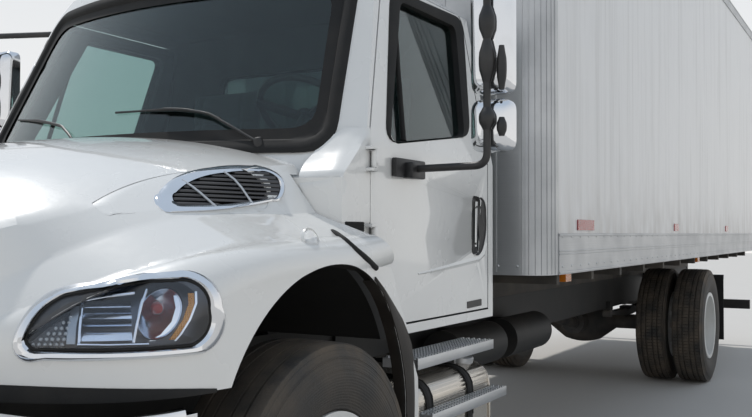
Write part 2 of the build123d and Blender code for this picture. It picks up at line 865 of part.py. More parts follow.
# Dashboard across the cab, inside the windscreen, with the steering column's shroud
with BuildPart() as dashboard:
    with BuildSketch(side_plane(0)):
        with BuildLine():
            Polyline(
                (station(-200), 1345),
                (station(-500), 1345),
                (station(-640), 1440),
                (station(-615), 1590),
                (station(-420), 1672),
                (station(-100), 1672),
                close=True,
            )
        make_face()
    extrude(amount=cab_half - door_wall - 25, both=True)
    with BuildSketch(ring_plane.offset(-column_length)):
        Circle(48)
    extrude(amount=-200)
    add(cab_block(cab_wall + seat_gap), mode=Mode.INTERSECT)
    add(cab_inner, mode=Mode.INTERSECT)
    add(wheelhouse(house_radius + cab_wall + seat_gap), mode=Mode.SUBTRACT)
save(dashboard, "dashboard")

with BuildPart() as steering_wheel:
    with BuildSketch(ring_plane * Plane.XZ):
        with Locations((228, 0)):
            Circle(16)
    revolve(axis=Axis(wheel_centre, wheel_lean))
    with BuildSketch(ring_plane.offset(-30)):
        Circle(52)
        with PolarLocations(120, 3, start_angle=90):
            Rectangle(230, 36)
    extrude(amount=24)
    with BuildSketch(ring_plane.offset(-20)):
        Circle(34)
    extrude(amount=-(column_length - seat_gap - 20))
save(steering_wheel, "steering_wheel")

# Seats: a cushion and a back each side, on pedestals bolted to the floor
seat_y = 450.0
cab_floor = cab_bottom + cab_wall
with BuildPart() as seat_bases:
    with Locations((station(-1290), seat_y, (cab_floor + seat_gap + 1370) / 2)):
        Box(360, 380, 1370 - cab_floor - seat_gap)
    mirror(about=Plane.XZ)
save(seat_bases, "seat_bases")

with BuildPart() as seat_cushions:
    with Locations((station(-1260), seat_y, 1370 + seat_gap + 65)):
        Box(500, 500, 130)
    fillet(seat_cushions.edges().filter_by(Axis.Z), 50)
    with BuildSketch(side_plane(seat_y + 240)):
        with BuildLine():
            Polyline(
                (station(-1420), 1501),
                (station(-1540), 1501),
                (station(-1580), 2160),
                (station(-1480), 2160),
                close=True,
            )
        make_face()
    extrude(amount=480)
    mirror(about=Plane.XZ)
save(seat_cushions, "seat_cushions")

# Hood: one loft of cross sections over the crown, the valleys and the fenders
# station, crown z, shoulder y, z, valley y, z, fender edge y, z, side y, lower edge z
hood_sections = (
    (-640.0, 1775.0, 860.0, 1640.0, 975.0, 1455.0, 1120.0, 1375.0, 1178.0, 700.0),
    (-200.0, 1752.0, 850.0, 1618.0, 960.0, 1450.0, 1120.0, 1375.0, 1180.0, 700.0),
    (200.0, 1706.0, 815.0, 1545.0, 915.0, 1440.0, 1090.0, 1360.0, 1175.0, 700.0),
    (520.0, 1645.0, 760.0, 1465.0, 850.0, 1400.0, 1020.0, 1315.0, 1145.0, 700.0),
    (740.0, 1580.0, 690.0, 1412.0, 760.0, 1315.0, 890.0, 1245.0, 1040.0, 700.0),
    (880.0, 1500.0, 600.0, 1365.0, 645.0, 1215.0, 730.0, 1165.0, 820.0, 700.0),
    (1000.0, 1385.0, 380.0, 1310.0, 410.0, 1150.0, 440.0, 1110.0, 470.0, 700.0),
)


def hood_block(inset, nose_inset):
    with BuildPart() as block:
        for s, crown, sh_y, sh_z, va_y, va_z, ed_y, ed_z, side, low in hood_sections:
            last = s == hood_sections[-1][0]
            first = s == hood_sections[0][0]
            place = s - nose_inset if last else s - (1 if first and inset else 0)
            drop = low - inset * 3
            with BuildSketch(cross_plane(station(place))):
                with BuildLine():
                    ThreePointArc(
                        (-sh_y + inset, sh_z - inset), (0, crown - inset), (sh_y - inset, sh_z - inset)
                    )
                    Line((sh_y - inset, sh_z - inset), (va_y - inset, va_z - inset))
                    Line((va_y - inset, va_z - inset), (ed_y - inset, ed_z - inset))
                    bend = (ed_y + 0.8 * (side - ed_y) - inset, ed_z - 0.35 * (side - ed_y) - inset)
                    foot = (side - inset, ed_z - 110 - inset)
                    ThreePointArc((ed_y - inset, ed_z - inset), bend, foot)
                    Line(foot, (side - inset, drop))
                    Line((side - inset, drop), (-side + inset, drop))
                    Line((-side + inset, drop), (-foot[0], foot[1]))
                    ThreePointArc((-foot[0], foot[1]), (-bend[0], bend[1]), (-ed_y + inset, ed_z - inset))
                    Line((-ed_y + inset, ed_z - inset), (-va_y + inset, va_z - inset))
                    Line((-va_y + inset, va_z - inset), (-sh_y + inset, sh_z - inset))
                make_face()
        loft()
    return block.part


hood_low = 970.0
hood_outer = hood_block(0, 0)
hood_inner = hood_block(hood_wall, hood_wall)
grille_half = 335.0
grille_low = 1015.0
grille_high = 1300.0


def grille_cut(grow):
    with BuildSketch(cross_plane(station(860))) as opening:
        with BuildLine():
            Polyline(
                (-grille_half + 40, grille_low),
                (grille_half - 40, grille_low),
                (grille_half, grille_high),
                (-grille_half, grille_high),
                close=True,
            )
        make_face()
        fillet(opening.vertices(), 40)
        if grow:
            offset(amount=grow, mode=Mode.REPLACE)
    return extrude(opening.sketch, amount=300, dir=(1, 0, 0))


# Headlamps: an outline seen square to the hood's corner
lamp_turn = 50.0
lamp_plane = Plane(
    origin=(station(700), 1050, 1170),
    x_dir=(-sin(radians(lamp_turn)), cos(radians(lamp_turn)), 0),
    z_dir=(cos(radians(lamp_turn)), sin(radians(lamp_turn)), 0),
)


def lamp_cut(grow):
    with BuildSketch(lamp_plane.offset(-260)) as outline:
        with BuildLine():
            ThreePointArc((-298, -70), (-150, 36), (60, 100))
            ThreePointArc((60, 100), (160, 92), (212, 20))
            ThreePointArc((212, 20), (205, -70), (150, -98))
            Line((150, -98), (-240, -98))
            ThreePointArc((-240, -98), (-285, -92), (-298, -70))
        make_face()
        if grow:
            offset(amount=grow, mode=Mode.REPLACE)
    return extrude(outline.sketch, amount=600, dir=lamp_plane.z_dir)


# Side vents: an outline on the hood's flank
vent_low = 1440.0


def vent_cut(grow):
    with BuildSketch(side_plane(0)) as outline:
        with BuildLine():
            ThreePointArc((station(560), 1466), (station(330), 1545), (station(60), 1590))
            ThreePointArc((station(60), 1590), (station(-20), 1575), (station(-44), 1520))
            ThreePointArc((station(-44), 1520), (station(-10), 1470), (station(60), 1458))
            Line((station(60), 1458), (station(540), vent_low))
            ThreePointArc((station(540), vent_low), (station(566), 1448), (station(560), 1466))
        make_face()
        if grow:
            offset(amount=grow, mode=Mode.REPLACE)
    return extrude(outline.sketch, amount=1400, dir=(0, 1, 0))


def fender_tail():
    """What lies behind the fender's rear edge, on both sides."""
    with BuildSketch(side_plane(0)) as zone:
        with BuildLine():
            Polyline(
                (station(-262), 2000),
                (station(-262), 1420),
                (station(-450), 1240),
                (station(-560), 1050),
                (station(-620), 850),
                (station(-625), 600),
                (station(-800), 600),
                (station(-800), 2000),
                close=True,
            )
        make_face()
    return extrude(zone.sketch, amount=1400, both=True)


with BuildPart() as hood_shell:
    add(hood_outer)
    add(hood_inner, mode=Mode.SUBTRACT)
    add(hood_clear, mode=Mode.SUBTRACT)
    add(fender_tail(), mode=Mode.SUBTRACT)
    # the wheel arches, and the lower edge ahead of them
    with BuildSketch(side_plane(0)):
        with Locations((station(arch_station), arch_height)):
            Circle(arch_radius)
        with Locations((station(arch_station), (arch_height + 500) / 2)):
            Rectangle(2 * arch_radius, arch_height - 500)
        with Locations((station(800), (hood_low + 500) / 2)):
            Rectangle(800, hood_low - 500)
    extrude(amount=1400, both=True, mode=Mode.SUBTRACT)
    add(grille_cut(0), mode=Mode.SUBTRACT)
    for side in (1, -1):
        with Locations((station(hood_pivot_station), side * hood_hinge_y, hood_pivot_z)):
            Box(120, 2 * hinge_notch, 90, mode=Mode.SUBTRACT)
        with Locations((station(hood_pivot_station) - 6, side * hood_hinge_y, hood_pivot_z + 30)):
            Box(30, 36, 90)
        with Locations((station(hood_pivot_station), side * hood_hinge_y, hood_pivot_z)):
            Cylinder(16, 36, rotation=(90, 0, 0))
            Cylinder(hood_pin + running_gap, 60, rotation=(90, 0, 0), mode=Mode.SUBTRACT)
    for cut in (lamp_cut(seat_gap), vent_cut(seat_gap)):
        add(cut, mode=Mode.SUBTRACT)
        add(mirror(cut, about=Plane.XZ, mode=Mode.PRIVATE), mode=Mode.SUBTRACT)
save(hood_shell, "hood_shell")

# A headlamp is a housing with a bezel and two bowls, behind a clear lens
lamp_depth = 80.0
lamp_bezel = 26.0
lens_thick = 4.0
with BuildPart() as lamp_pocket:
    add(lamp_cut(-lamp_bezel))
    add(hood_outer, mode=Mode.INTERSECT)
    add(hood_block(38, 38), mode=Mode.SUBTRACT)

with BuildPart() as headlights:
    add(lamp_cut(0))
    add(hood_outer, mode=Mode.INTERSECT)
    add(hood_block(lamp_depth, lamp_depth), mode=Mode.SUBTRACT)
    add(lamp_pocket.part, mode=Mode.SUBTRACT)
    mirror(about=Plane.XZ)
save(headlights, "headlights")

with BuildPart() as headlight_lenses:
    add(lamp_cut(-lamp_bezel - seat_gap))
    add(hood_block(2, 2), mode=Mode.INTERSECT)
    add(hood_block(2 + lens_thick, 2 + lens_thick), mode=Mode.SUBTRACT)
    mirror(about=Plane.XZ)
save(headlight_lenses, "headlight_lenses")

# Louvres: level slots through the vent's face, between the slats
vent_rim = 14.0
louvre_pitch = 15.0
louvre_slot = 7.0
with BuildPart() as louvres:
    for n in range(7):
        with Locations((station(220), 0, vent_low + vent_rim + 12 + n * louvre_pitch)):
            Box(700, 2600, louvre_slot)
    add(vent_cut(-vent_rim), mode=Mode.INTERSECT)
    add(hood_block(22, 22), mode=Mode.SUBTRACT)

with BuildPart() as hood_vents:
    add(vent_cut(0))
    add(hood_outer, mode=Mode.INTERSECT)
    add(hood_block(30, 30), mode=Mode.SUBTRACT)
    add(louvres.part, mode=Mode.SUBTRACT)
    mirror(about=Plane.XZ)
save(hood_vents, "hood_vents")

with BuildPart() as grille:
    add(grille_cut(-seat_gap))
    with BuildSketch(cross_plane(station(965))):
        with Locations((0, (grille_low + grille_high) / 2)):
            Rectangle(900, 500)
    extrude(amount=30, mode=Mode.INTERSECT)
    slot_count = 5
    slot_pitch = (grille_high - grille_low - 30) / slot_count
    for n in range(slot_count):
        with Locations((station(980), 0, grille_low + 15 + slot_pitch * (n + 0.5))):
            Box(60, 2 * grille_half - 130, slot_pitch - 22, mode=Mode.SUBTRACT)
save(grille, "grille")

with BuildPart() as fender_liners:
    with BuildSketch(side_plane(cab_half + 200)):
        with Locations((station(arch_station), arch_height)):
            Circle(arch_radius + liner_gap + liner_wall)
            Circle(arch_radius + liner_gap, mode=Mode.SUBTRACT)
        with Locations((station(-700), 700)):
            Rectangle(1500, 1000, align=(Align.MIN, Align.MAX), mode=Mode.SUBTRACT)
        with Locations((station(100), hood_low + 20)):
            Rectangle(800, 1000, align=(Align.MIN, Align.MAX), mode=Mode.SUBTRACT)
    extrude(amount=cab_half + 200 - liner_inner)
    # a liner ends ahead of the cowl, which it passes as the hood tilts
    extrude(arc_plan(-cowl_nose + 2 * panel_gap, cowl_radius, 0), amount=2000, mode=Mode.SUBTRACT)
    # each liner ends on the inside of its fender
    add(hood_block(hood_wall + seat_gap, hood_wall), mode=Mode.INTERSECT)
    mirror(about=Plane.XZ)
save(fender_liners, "fender_liners")

# Front bumper: a pressed channel that wraps round both corners


def bumper_face(inset):
    """The bumper's plan, pulled in by inset, closed across its open back."""
    half = bumper_half - inset
    nose = station(front_overhang - inset)
    back = station(bumper_end) - (1 if inset else 0)
    with BuildSketch(level(bumper_low)) as plan:
        with BuildLine():
            ThreePointArc((nose - 45, -half + 380), (nose, 0), (nose - 45, half - 380))
            ThreePointArc(
                (nose - 45, half - 380), (nose - 170, half - 95), (nose - 330, half - 10)
            )
            Polyline(
                (nose - 330, half - 10), (back, half), (back, -half), (nose - 330, -half + 10)
            )
            ThreePointArc(
                (nose - 330, -half + 10), (nose - 170, -half + 95), (nose - 45, -half + 380)
            )
        make_face()
    return plan.sketch


with BuildPart() as front_bumper:
    add(extrude(bumper_face(0), amount=bumper_high - bumper_low, dir=(0, 0, 1)))
    tall = bumper_high - bumper_low
    core = extrude(bumper_face(bumper_flange), amount=tall, dir=(0, 0, 1), mode=Mode.PRIVATE)
    add(core, mode=Mode.SUBTRACT)
    channel = bumper_high - bumper_low - 2 * bumper_plate
    hollow = extrude(bumper_face(bumper_plate), amount=channel, dir=(0, 0, 1), mode=Mode.PRIVATE)
    add(Pos(0, 0, bumper_plate) * hollow, mode=Mode.SUBTRACT)
    # brackets back to the ends of the frame rails
    bracket_x0 = station(rail_front) + seat_gap
    bracket_x1 = station(front_overhang) - bumper_flange + 20
    for side in (1, -1):
        with Locations(
            ((bracket_x0 + bracket_x1) / 2, side * (rail_half - 40), (bumper_low + bumper_high) / 2)
        ):
            Box(bracket_x1 - bracket_x0, 60, bumper_high - bumper_low - bumper_plate)
        # ears and pin for the hood's hinge
        for out in (-27, 27):
            with Locations(
                (station(hood_pivot_station) + 8, side * hood_hinge_y + out, (bumper_high + hood_pivot_z) / 2)
            ):
                Box(44, 12, hood_pivot_z - bumper_high + 24)
        with Locations((station(hood_pivot_station), side * hood_hinge_y, hood_pivot_z)):
            Cylinder(hood_pin, 66, rotation=(90, 0, 0))
save(front_bumper, "front_bumper")

# Tow eyes: plates on the insides of the bumper's brackets
with BuildPart() as tow_eyes:
    with BuildSketch(side_plane(rail_half - 70 - seat_gap)):
        with Locations((station(tow_eye_station), tow_eye_z)):
            Circle(tow_eye_radius)
            Rectangle(2 * tow_eye_radius, rail_low - 10 - tow_eye_z, align=(Align.CENTER, Align.MIN))
            Circle(tow_pin_radius, mode=Mode.SUBTRACT)
    extrude(amount=tow_eye_thick, dir=(0, -1, 0))
    mirror(about=Plane.XZ)
save(tow_eyes, "tow_eyes")

# Fuel tank on the left, battery box on the right


def side_box(corner):
    with BuildPart() as body:
        x = station(-tank_front - tank_length / 2)
        with BuildSketch(cross_plane(x)):
            with Locations(((tank_inner + tank_outer) / 2, (tank_low + tank_high) / 2)):
                RectangleRounded(tank_outer - tank_inner, tank_high - tank_low, corner)
        extrude(amount=tank_length / 2, both=True)
    return body


fuel_tank = side_box(tank_corner)
save(fuel_tank, "fuel_tank")
battery_left = side_box(battery_corner)
with BuildPart() as battery_box:
    mirror(battery_left.part, about=Plane.XZ)
save(battery_box, "battery_box")

tread_thick = 36.0
tread_depth = 150.0
with BuildPart() as cab_steps:
    tread_x = station(-step_front - step_run / 2)
    for z, y, depth in (
        (tread_high, tank_outer - tread_depth / 2, tread_depth),
        (tread_low, tank_outer + seat_gap + 30, 60.0),
    ):
        with Locations((tread_x, y, z)):
            Box(step_run, depth, tread_thick)
    # posts that stand on the tank and carry the upper tread
    for inset in (120.0, tank_length - 120.0):
        x = station(-tank_front - inset)
        low = tank_high + seat_gap
        high = tread_high - tread_thick / 2
        with Locations((x, tank_outer - tread_depth + 30, (low + high) / 2)):
            Box(60, 40, high - low)
    mirror(about=Plane.XZ)
save(cab_steps, "cab_steps")

with BuildPart() as exhaust:
    muffler_x = station(-2700)
    muffler_y = -(rail_half + 190)
    with Locations((muffler_x, muffler_y, 720)):
        Cylinder(130, 900, rotation=(0, 90, 0))
    with Locations((muffler_x - 900, muffler_y, 720)):
        Cylinder(50, 1000, rotation=(0, 90, 0))
    for offset_x in (-300, 300):
        with Locations((muffler_x + offset_x, -(rail_half + seat_gap) - 50, 800)):
            Box(60, 100, 120)
save(exhaust, "exhaust")

with BuildPart() as air_tanks:
    for x in (station(-2350), station(-3150)):
        with Locations((x, rail_half + 170, 740)):
            Cylinder(120, 640, rotation=(0, 90, 0))
        with Locations((x, rail_half + seat_gap + 35, 780)):
            Box(60, 70, 120)
save(air_tanks, "air_tanks")

# Box floor: a plate on cross sills, which lie on two long sills along the frame rails
floor_x0 = box_rear_x + rear_frame_depth + seat_gap
floor_x1 = box_front_x - corner_depth
floor_half = box_half - box_wall - seat_gap
cross_high = box_floor_top - floor_plate - seat_gap
cross_low = cross_high - sill_height
with BuildPart() as box_floor:
    with Locations(((floor_x0 + floor_x1) / 2, 0, box_floor_top - floor_plate / 2)):
        Box(floor_x1 - floor_x0, 2 * floor_half, floor_plate)
save(box_floor, "box_floor")

sill_width = 44.0
with BuildPart() as cross_sills:
    for n in range(int((floor_x1 - floor_x0) / floor_pitch)):
        x = floor_x1 - 60 - n * floor_pitch
        with Locations((x, 0, cross_low + sill_height / 2)):
            Box(sill_width, 2 * floor_half, sill_height)
save(cross_sills, "cross_sills")

with BuildPart() as long_sills:
    sill_low = rail_top + seat_gap
    sill_high = cross_low - seat_gap
    with Locations(((floor_x0 + floor_x1) / 2, rail_half - 40, (sill_low + sill_high) / 2)):
        Box(floor_x1 - floor_x0, 76, sill_high - sill_low)
    mirror(about=Plane.XZ)
save(long_sills, "long_sills")


def nose_plan(inset):
    """The box's front in plan, with its rounded corners."""
    with BuildSketch(level(box_bottom)) as plan:
        with Locations((box_front_x - inset, 0)):
            Rectangle(
                corner_depth - inset, 2 * (box_half - inset), align=(Align.MAX, Align.CENTER)
            )
        fillet(plan.vertices().group_by(Axis.X)[-1], corner_radius - inset)
    return plan.sketch


with BuildPart() as box_front_wall:
    add(extrude(nose_plan(0), amount=box_top - box_bottom, dir=(0, 0, 1)))
    tall = box_top - box_bottom
    hollow = extrude(nose_plan(box_wall), amount=tall, dir=(0, 0, 1), mode=Mode.PRIVATE)
    add(hollow, mode=Mode.SUBTRACT)
save(box_front_wall, "box_front_wall")

wall_x0 = box_rear_x + rear_frame_depth + seat_gap
wall_x1 = box_front_x - corner_depth - seat_gap
wall_run = wall_x1 - wall_x0
wall_mid = (wall_x0 + wall_x1) / 2
with BuildPart() as box_panels:
    low = box_bottom + rail_band + seat_gap
    high = box_top - top_band - seat_gap
    with Locations((wall_mid, box_half - box_wall / 2, (low + high) / 2)):
        Box(wall_run, box_wall, high - low)
    mirror(about=Plane.XZ)
save(box_panels, "box_panels")

with BuildPart() as box_rails:
    for low, high in ((box_bottom, box_bottom + rail_band), (box_top - top_band, box_top)):
        wide = box_wall + rail_proud
        with Locations((wall_mid, box_half + rail_proud - wide / 2, (low + high) / 2)):
            Box(wall_run, wide, high - low)
    mirror(about=Plane.XZ)
save(box_rails, "box_rails")

roof_sheet = 8.0
roof_high = box_top - 8.0
bow_height = 42.0
with BuildPart() as box_roof:
    with Locations((wall_mid, 0, roof_high - roof_sheet / 2)):
        Box(wall_run, 2 * floor_half, roof_sheet)
    # bows under the sheet
    for n in range(int(wall_run / floor_pitch)):
        bow_z = roof_high - roof_sheet - seat_gap - bow_height / 2
        with Locations((wall_x1 - 300 - n * floor_pitch, 0, bow_z)):
            Box(40, 2 * floor_half, bow_height)
save(box_roof, "box_roof")

# Rear frame: posts, header and sill round the cargo doors
opening_half = box_half - rear_post
opening_high = box_top - rear_header
hinge_x = box_rear_x - 30.0
hinge_y = box_half + 20.0
hinge_heights = (1500.0, 2150.0, 2800.0, 3400.0)
barrel_height = 90.0
with BuildPart() as box_rear_frame:
    with Locations((box_rear_x + rear_frame_depth / 2, 0, (box_bottom + box_top) / 2)):
        Box(rear_frame_depth, 2 * box_half, box_top - box_bottom)
    with Locations((box_rear_x + rear_frame_depth / 2, 0, (box_floor_top + opening_high) / 2)):
        Box(
            rear_frame_depth + 10,
            2 * opening_half,
            opening_high - box_floor_top,
            mode=Mode.SUBTRACT,
        )
    # hinge pins on ears at the rear corners
    for z in hinge_heights:
        for up in (1, -1):
            ear_z = z + up * (barrel_height / 2 + 12)
            with Locations(((box_rear_x + hinge_x) / 2, (box_half + hinge_y) / 2 - 10, ear_z)):
                Box(box_rear_x - hinge_x + 24, hinge_y - box_half + 44, 20)
        with Locations((hinge_x, hinge_y, z)):
            Cylinder(6, barrel_height + 40)
    mirror(about=Plane.XZ)
save(box_rear_frame, "box_rear_frame")

with BuildPart() as cargo_door:
    door_y0 = 4.0
    door_y1 = opening_half - panel_gap
    door_z0 = box_floor_top + panel_gap
    door_z1 = opening_high - panel_gap
    with Locations((box_rear_x + cargo_door_wall / 2, (door_y0 + door_y1) / 2, (door_z0 + door_z1) / 2)):
        Box(cargo_door_wall, door_y1 - door_y0, door_z1 - door_z0)
    # hinge straps with their barrels
    for z in hinge_heights:
        with Locations((box_rear_x - 10, (door_y1 - 160 + hinge_y) / 2, z)):
            Box(8, hinge_y - door_y1 + 160, 70)
        with Locations((box_rear_x - 15, hinge_y - 4, z)):
            Box(18, 8, 70)
        with Locations((box_rear_x - 3, door_y1 - 120, z)):
            Box(8, 80, 70)
        with Locations((hinge_x, hinge_y, z)):
            Cylinder(13, barrel_height)
    for z in hinge_heights:
        with Locations((hinge_x, hinge_y, z)):
            Cylinder(6 + running_gap, barrel_height + 20, mode=Mode.SUBTRACT)
    # lock rods with their guides
    for y in (160.0, 900.0):
        with Locations((box_rear_x - 24, y, (door_z0 + door_z1) / 2)):
            Cylinder(12, door_z1 - door_z0 - 60)
        for z in (door_z0 + 120, (door_z0 + door_z1) / 2, door_z1 - 120):
            with Locations((box_rear_x - 14, y, z)):
                Box(30, 50, 60)
save_pair(cargo_door, "cargo_door")

with BuildPart() as rear_bumper:
    with Locations((box_rear_x - bumper_reach / 2, 0, 500)):
        Box(bumper_reach, 2300, 110)
    for side in (1, -1):
        with Locations((box_rear_x + 45, side * (rail_half - 45), 780)):
            Box(90, 70, 670)
save(rear_bumper, "rear_bumper")

with BuildPart() as mud_flaps:
    flap_x = rear_axle_x - tyre_radius - 170
    with Locations((flap_x, dual_mid, 640)):
        Box(10, 600, 640)
    with Locations((flap_x, (rail_half + seat_gap + dual_mid + 300) / 2, 945)):
        Box(40, dual_mid + 300 - rail_half - seat_gap, 40)
    mirror(about=Plane.XZ)
save(mud_flaps, "mud_flaps")

# Reflectors and lamps
with BuildPart() as red_lamps:
    lamp_y = box_half + seat_gap
    for s, run in ((-2450.0, 300.0), (-4830.0, 150.0), (-7290.0, 150.0)):
        with Locations((station(s), lamp_y + 3, 1425)):
            Box(run, 6, 56)
    for y in (700.0, 860.0, 1020.0):
        with Locations((box_rear_x - 8 - seat_gap, y, 1212)):
            Cylinder(30, 16, rotation=(0, 90, 0))
    mirror(about=Plane.XZ)
save(red_lamps, "red_lamps")

with BuildPart() as amber_lamps:
    for s in (-2158.0, -5780.0):
        with Locations((station(s), box_half - 20, box_bottom - seat_gap - 20)):
            Box(90, 36, 40)
    mirror(about=Plane.XZ)
save(amber_lamps, "amber_lamps")
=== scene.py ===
import json
import math

import bmesh
import bpy
from mathutils import Matrix, Quaternion, Vector
from mathutils.bvhtree import BVHTree
import numpy as np


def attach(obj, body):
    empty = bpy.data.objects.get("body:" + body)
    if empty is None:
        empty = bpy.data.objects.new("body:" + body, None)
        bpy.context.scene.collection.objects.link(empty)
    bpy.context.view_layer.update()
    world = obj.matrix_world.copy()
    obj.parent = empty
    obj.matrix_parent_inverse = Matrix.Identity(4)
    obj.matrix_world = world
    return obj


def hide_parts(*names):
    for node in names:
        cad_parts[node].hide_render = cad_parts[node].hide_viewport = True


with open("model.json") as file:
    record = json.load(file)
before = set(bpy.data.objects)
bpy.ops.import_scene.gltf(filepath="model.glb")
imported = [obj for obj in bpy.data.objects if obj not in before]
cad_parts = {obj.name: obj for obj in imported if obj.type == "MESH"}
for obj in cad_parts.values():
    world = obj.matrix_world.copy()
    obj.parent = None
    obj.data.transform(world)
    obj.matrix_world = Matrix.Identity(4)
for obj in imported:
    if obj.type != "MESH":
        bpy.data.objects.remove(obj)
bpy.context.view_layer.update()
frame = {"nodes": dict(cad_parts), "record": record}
nodes = frame["nodes"]
print("stage: frame loaded")

# The wheels' places, as in the CAD, and where rays start outside the left flank
frontAxleX = 4.37
rearAxleX = -2.23
axleHeight = 0.522
besideY = 1.6
rightward = (0, -1, 0)
archCentre = (frontAxleX - 0.02, 0.75)


# Shader maths: a wire is a socket that takes part in sums
class Wire:
    def __init__(self, finish, socket):
        self.finish = finish
        self.socket = socket

    def sum(self, operation, first, second):
        return self.finish.node("ShaderNodeMath", {"operation": operation}, {0: first, 1: second})

    def __add__(self, other):
        return self.sum("ADD", self, other)

    def __radd__(self, other):
        return self.sum("ADD", other, self)

    def __sub__(self, other):
        return self.sum("SUBTRACT", self, other)

    def __rsub__(self, other):
        return self.sum("SUBTRACT", other, self)

    def __mul__(self, other):
        return self.sum("MULTIPLY", self, other)

    def __rmul__(self, other):
        return self.sum("MULTIPLY", other, self)

    def __pow__(self, other):
        return self.sum("POWER", self, other)


class Finish:
    def __init__(self, name, colour, roughness=0.5, metallic=0.0, **fixed):
        self.material = bpy.data.materials.new(name)
        self.material.use_nodes = True
        self.tree = self.material.node_tree
        self.shader = self.tree.nodes["Principled BSDF"]
        self.colour = (*colour, 1.0)
        self.set("Base Color", self.colour)
        self.set("Roughness", roughness)
        self.set("Metallic", metallic)
        for socketName, value in fixed.items():
            self.set(socketName.replace("_", " ").title().replace("Ior", "IOR"), value)
        self.place = self.node("ShaderNodeTexCoord", output="Object")

    def set(self, name, value):
        self.feed(self.shader.inputs[name], value)

    def feed(self, socket, value):
        if isinstance(value, Wire):
            self.tree.links.new(value.socket, socket)
        else:
            socket.default_value = value

    def node(self, kind, settings=None, inputs=None, output=0):
        made = self.tree.nodes.new(kind)
        for name, value in (settings or {}).items():
            if name == "stops":
                self.setStops(made.color_ramp, value)
            else:
                setattr(made, name, value)
        for name, value in (inputs or {}).items():
            self.feed(made.inputs[name], value)
        return Wire(self, made.outputs[output])

    def setStops(self, ramp, stops):
        while len(ramp.elements) < len(stops):
            ramp.elements.new(0.5)
        for element, (position, colour) in zip(ramp.elements, stops):
            element.position = position
            element.color = colour

    def noise(self, scale, detail=3.0, stretch=(1, 1, 1), roughness=0.5):
        place = self.node("ShaderNodeMapping", {}, {"Vector": self.place, "Scale": stretch})
        inputs = {"Vector": place, "Scale": scale, "Detail": detail, "Roughness": roughness}
        return self.node("ShaderNodeTexNoise", {}, inputs)

    def axis(self, name):
        return self.node("ShaderNodeSeparateXYZ", {}, {0: self.place}, output=name)

    # Distance from a line across the truck
    def reachFrom(self, x, z):
        alongX = self.axis("X") - x
        alongZ = self.axis("Z") - z
        return (alongX * alongX + alongZ * alongZ) ** 0.5

    def between(self, value, low, high):
        inputs = {"Value": value, "From Min": low, "From Max": high}
        return self.node("ShaderNodeMapRange", {"clamp": True}, inputs)

    def mix(self, mask, first, second):
        inputs = {0: mask, 6: first, 7: second}
        return self.node("ShaderNodeMix", {"data_type": "RGBA"}, inputs, output=2)

    def bump(self, height, distance):
        inputs = {"Height": height, "Distance": distance}
        self.set("Normal", self.node("ShaderNodeBump", {}, inputs))

    def wave(self, scale, direction):
        settings = {"wave_type": "BANDS", "bands_direction": direction}
        inputs = {"Vector": self.place, "Scale": scale}
        return self.node("ShaderNodeTexWave", settings, inputs, output="Fac")


def tint(colour, factor):
    return (*[min(1.0, part * factor) for part in colour[:3]], 1.0)


# Paint of the cab and hood: glossy white, dusty towards the sills, and black inside a wheelhouse
def whitePaint(name, houseRadius=None):
    look = {
        "colour": (0.82, 0.82, 0.80), "dust": (0.56, 0.53, 0.48, 1), "black": (0.012, 0.011, 0.010, 1),
        "dustTop": 1.25, "dustLow": 0.65,
    }
    finish = Finish(name, look["colour"], 0.28, coat_weight=1.0, coat_roughness=0.04)
    cloud = finish.noise(3.0, 5.0)
    speck = finish.noise(140.0, 2.0)
    low = finish.between(finish.axis("Z"), look["dustTop"], look["dustLow"])
    mask = (low * low * 0.45 + 0.05) * finish.between(cloud, 0.35, 0.7)
    paint = finish.mix(mask, finish.colour, look["dust"])
    if houseRadius:
        reach = finish.reachFrom(*archCentre)
        inside = finish.between(reach, houseRadius, houseRadius - 0.01)
        paint = finish.mix(inside, paint, look["black"])
        mask = mask + inside
    finish.set("Base Color", paint)
    finish.set("Roughness", 0.26 + mask * 0.5)
    finish.set("Coat Weight", 1.0 - mask * 1.4)
    finish.bump(speck * 0.3 + finish.noise(22.0, 1.0), 0.0004)
    return finish.material


# Glass-fibre faced side panels: off-white, with rain streaks and road dirt low down
def panelPaint():
    look = {"streak": (0.50, 0.50, 0.49, 1), "dirt": (0.40, 0.35, 0.29, 1)}
    finish = Finish("panelWhite", (0.68, 0.685, 0.69), 0.34, coat_weight=0.35, coat_roughness=0.25)
    streaks = finish.noise(5.0, 6.0, (2.2, 2.2, 0.10), 0.62)
    fine = finish.noise(26.0, 4.0, (1.6, 1.6, 0.05), 0.6)
    low = finish.between(finish.axis("Z"), 1.95, 1.36)
    mask = finish.between(streaks, 0.50, 0.72) * 0.42 + finish.between(fine, 0.52, 0.75) * 0.22
    grey = finish.mix(mask, finish.colour, look["streak"])
    dirt = low * low * finish.between(finish.noise(9.0, 5.0, (1, 1, 0.4)), 0.3, 0.75) * 0.55
    finish.set("Base Color", finish.mix(dirt, grey, look["dirt"]))
    finish.set("Roughness", 0.30 + mask * 0.25 + dirt * 0.4)
    finish.bump(finish.noise(2.2, 2.0, (1, 1, 1.6)) + finish.noise(60.0, 2.0) * 0.02, 0.012)
    return finish.material


# Bare aluminium, with the grain along one axis
def bareAluminium(name, colour, grain, roughness=0.38, dirt=0.35):
    finish = Finish(name, colour, roughness, 0.9)
    lines = finish.noise(60.0, 4.0, grain)
    cloud = finish.noise(4.0, 5.0)
    mask = finish.between(cloud, 0.38, 0.72) * dirt
    finish.set("Base Color", finish.mix(mask, finish.colour, tint(colour, 0.55)))
    finish.set("Roughness", roughness - 0.08 + lines * 0.16 + mask * 0.25)
    finish.set("Metallic", 0.92 - mask * 0.5)
    finish.bump(lines, 0.0006)
    return finish.material


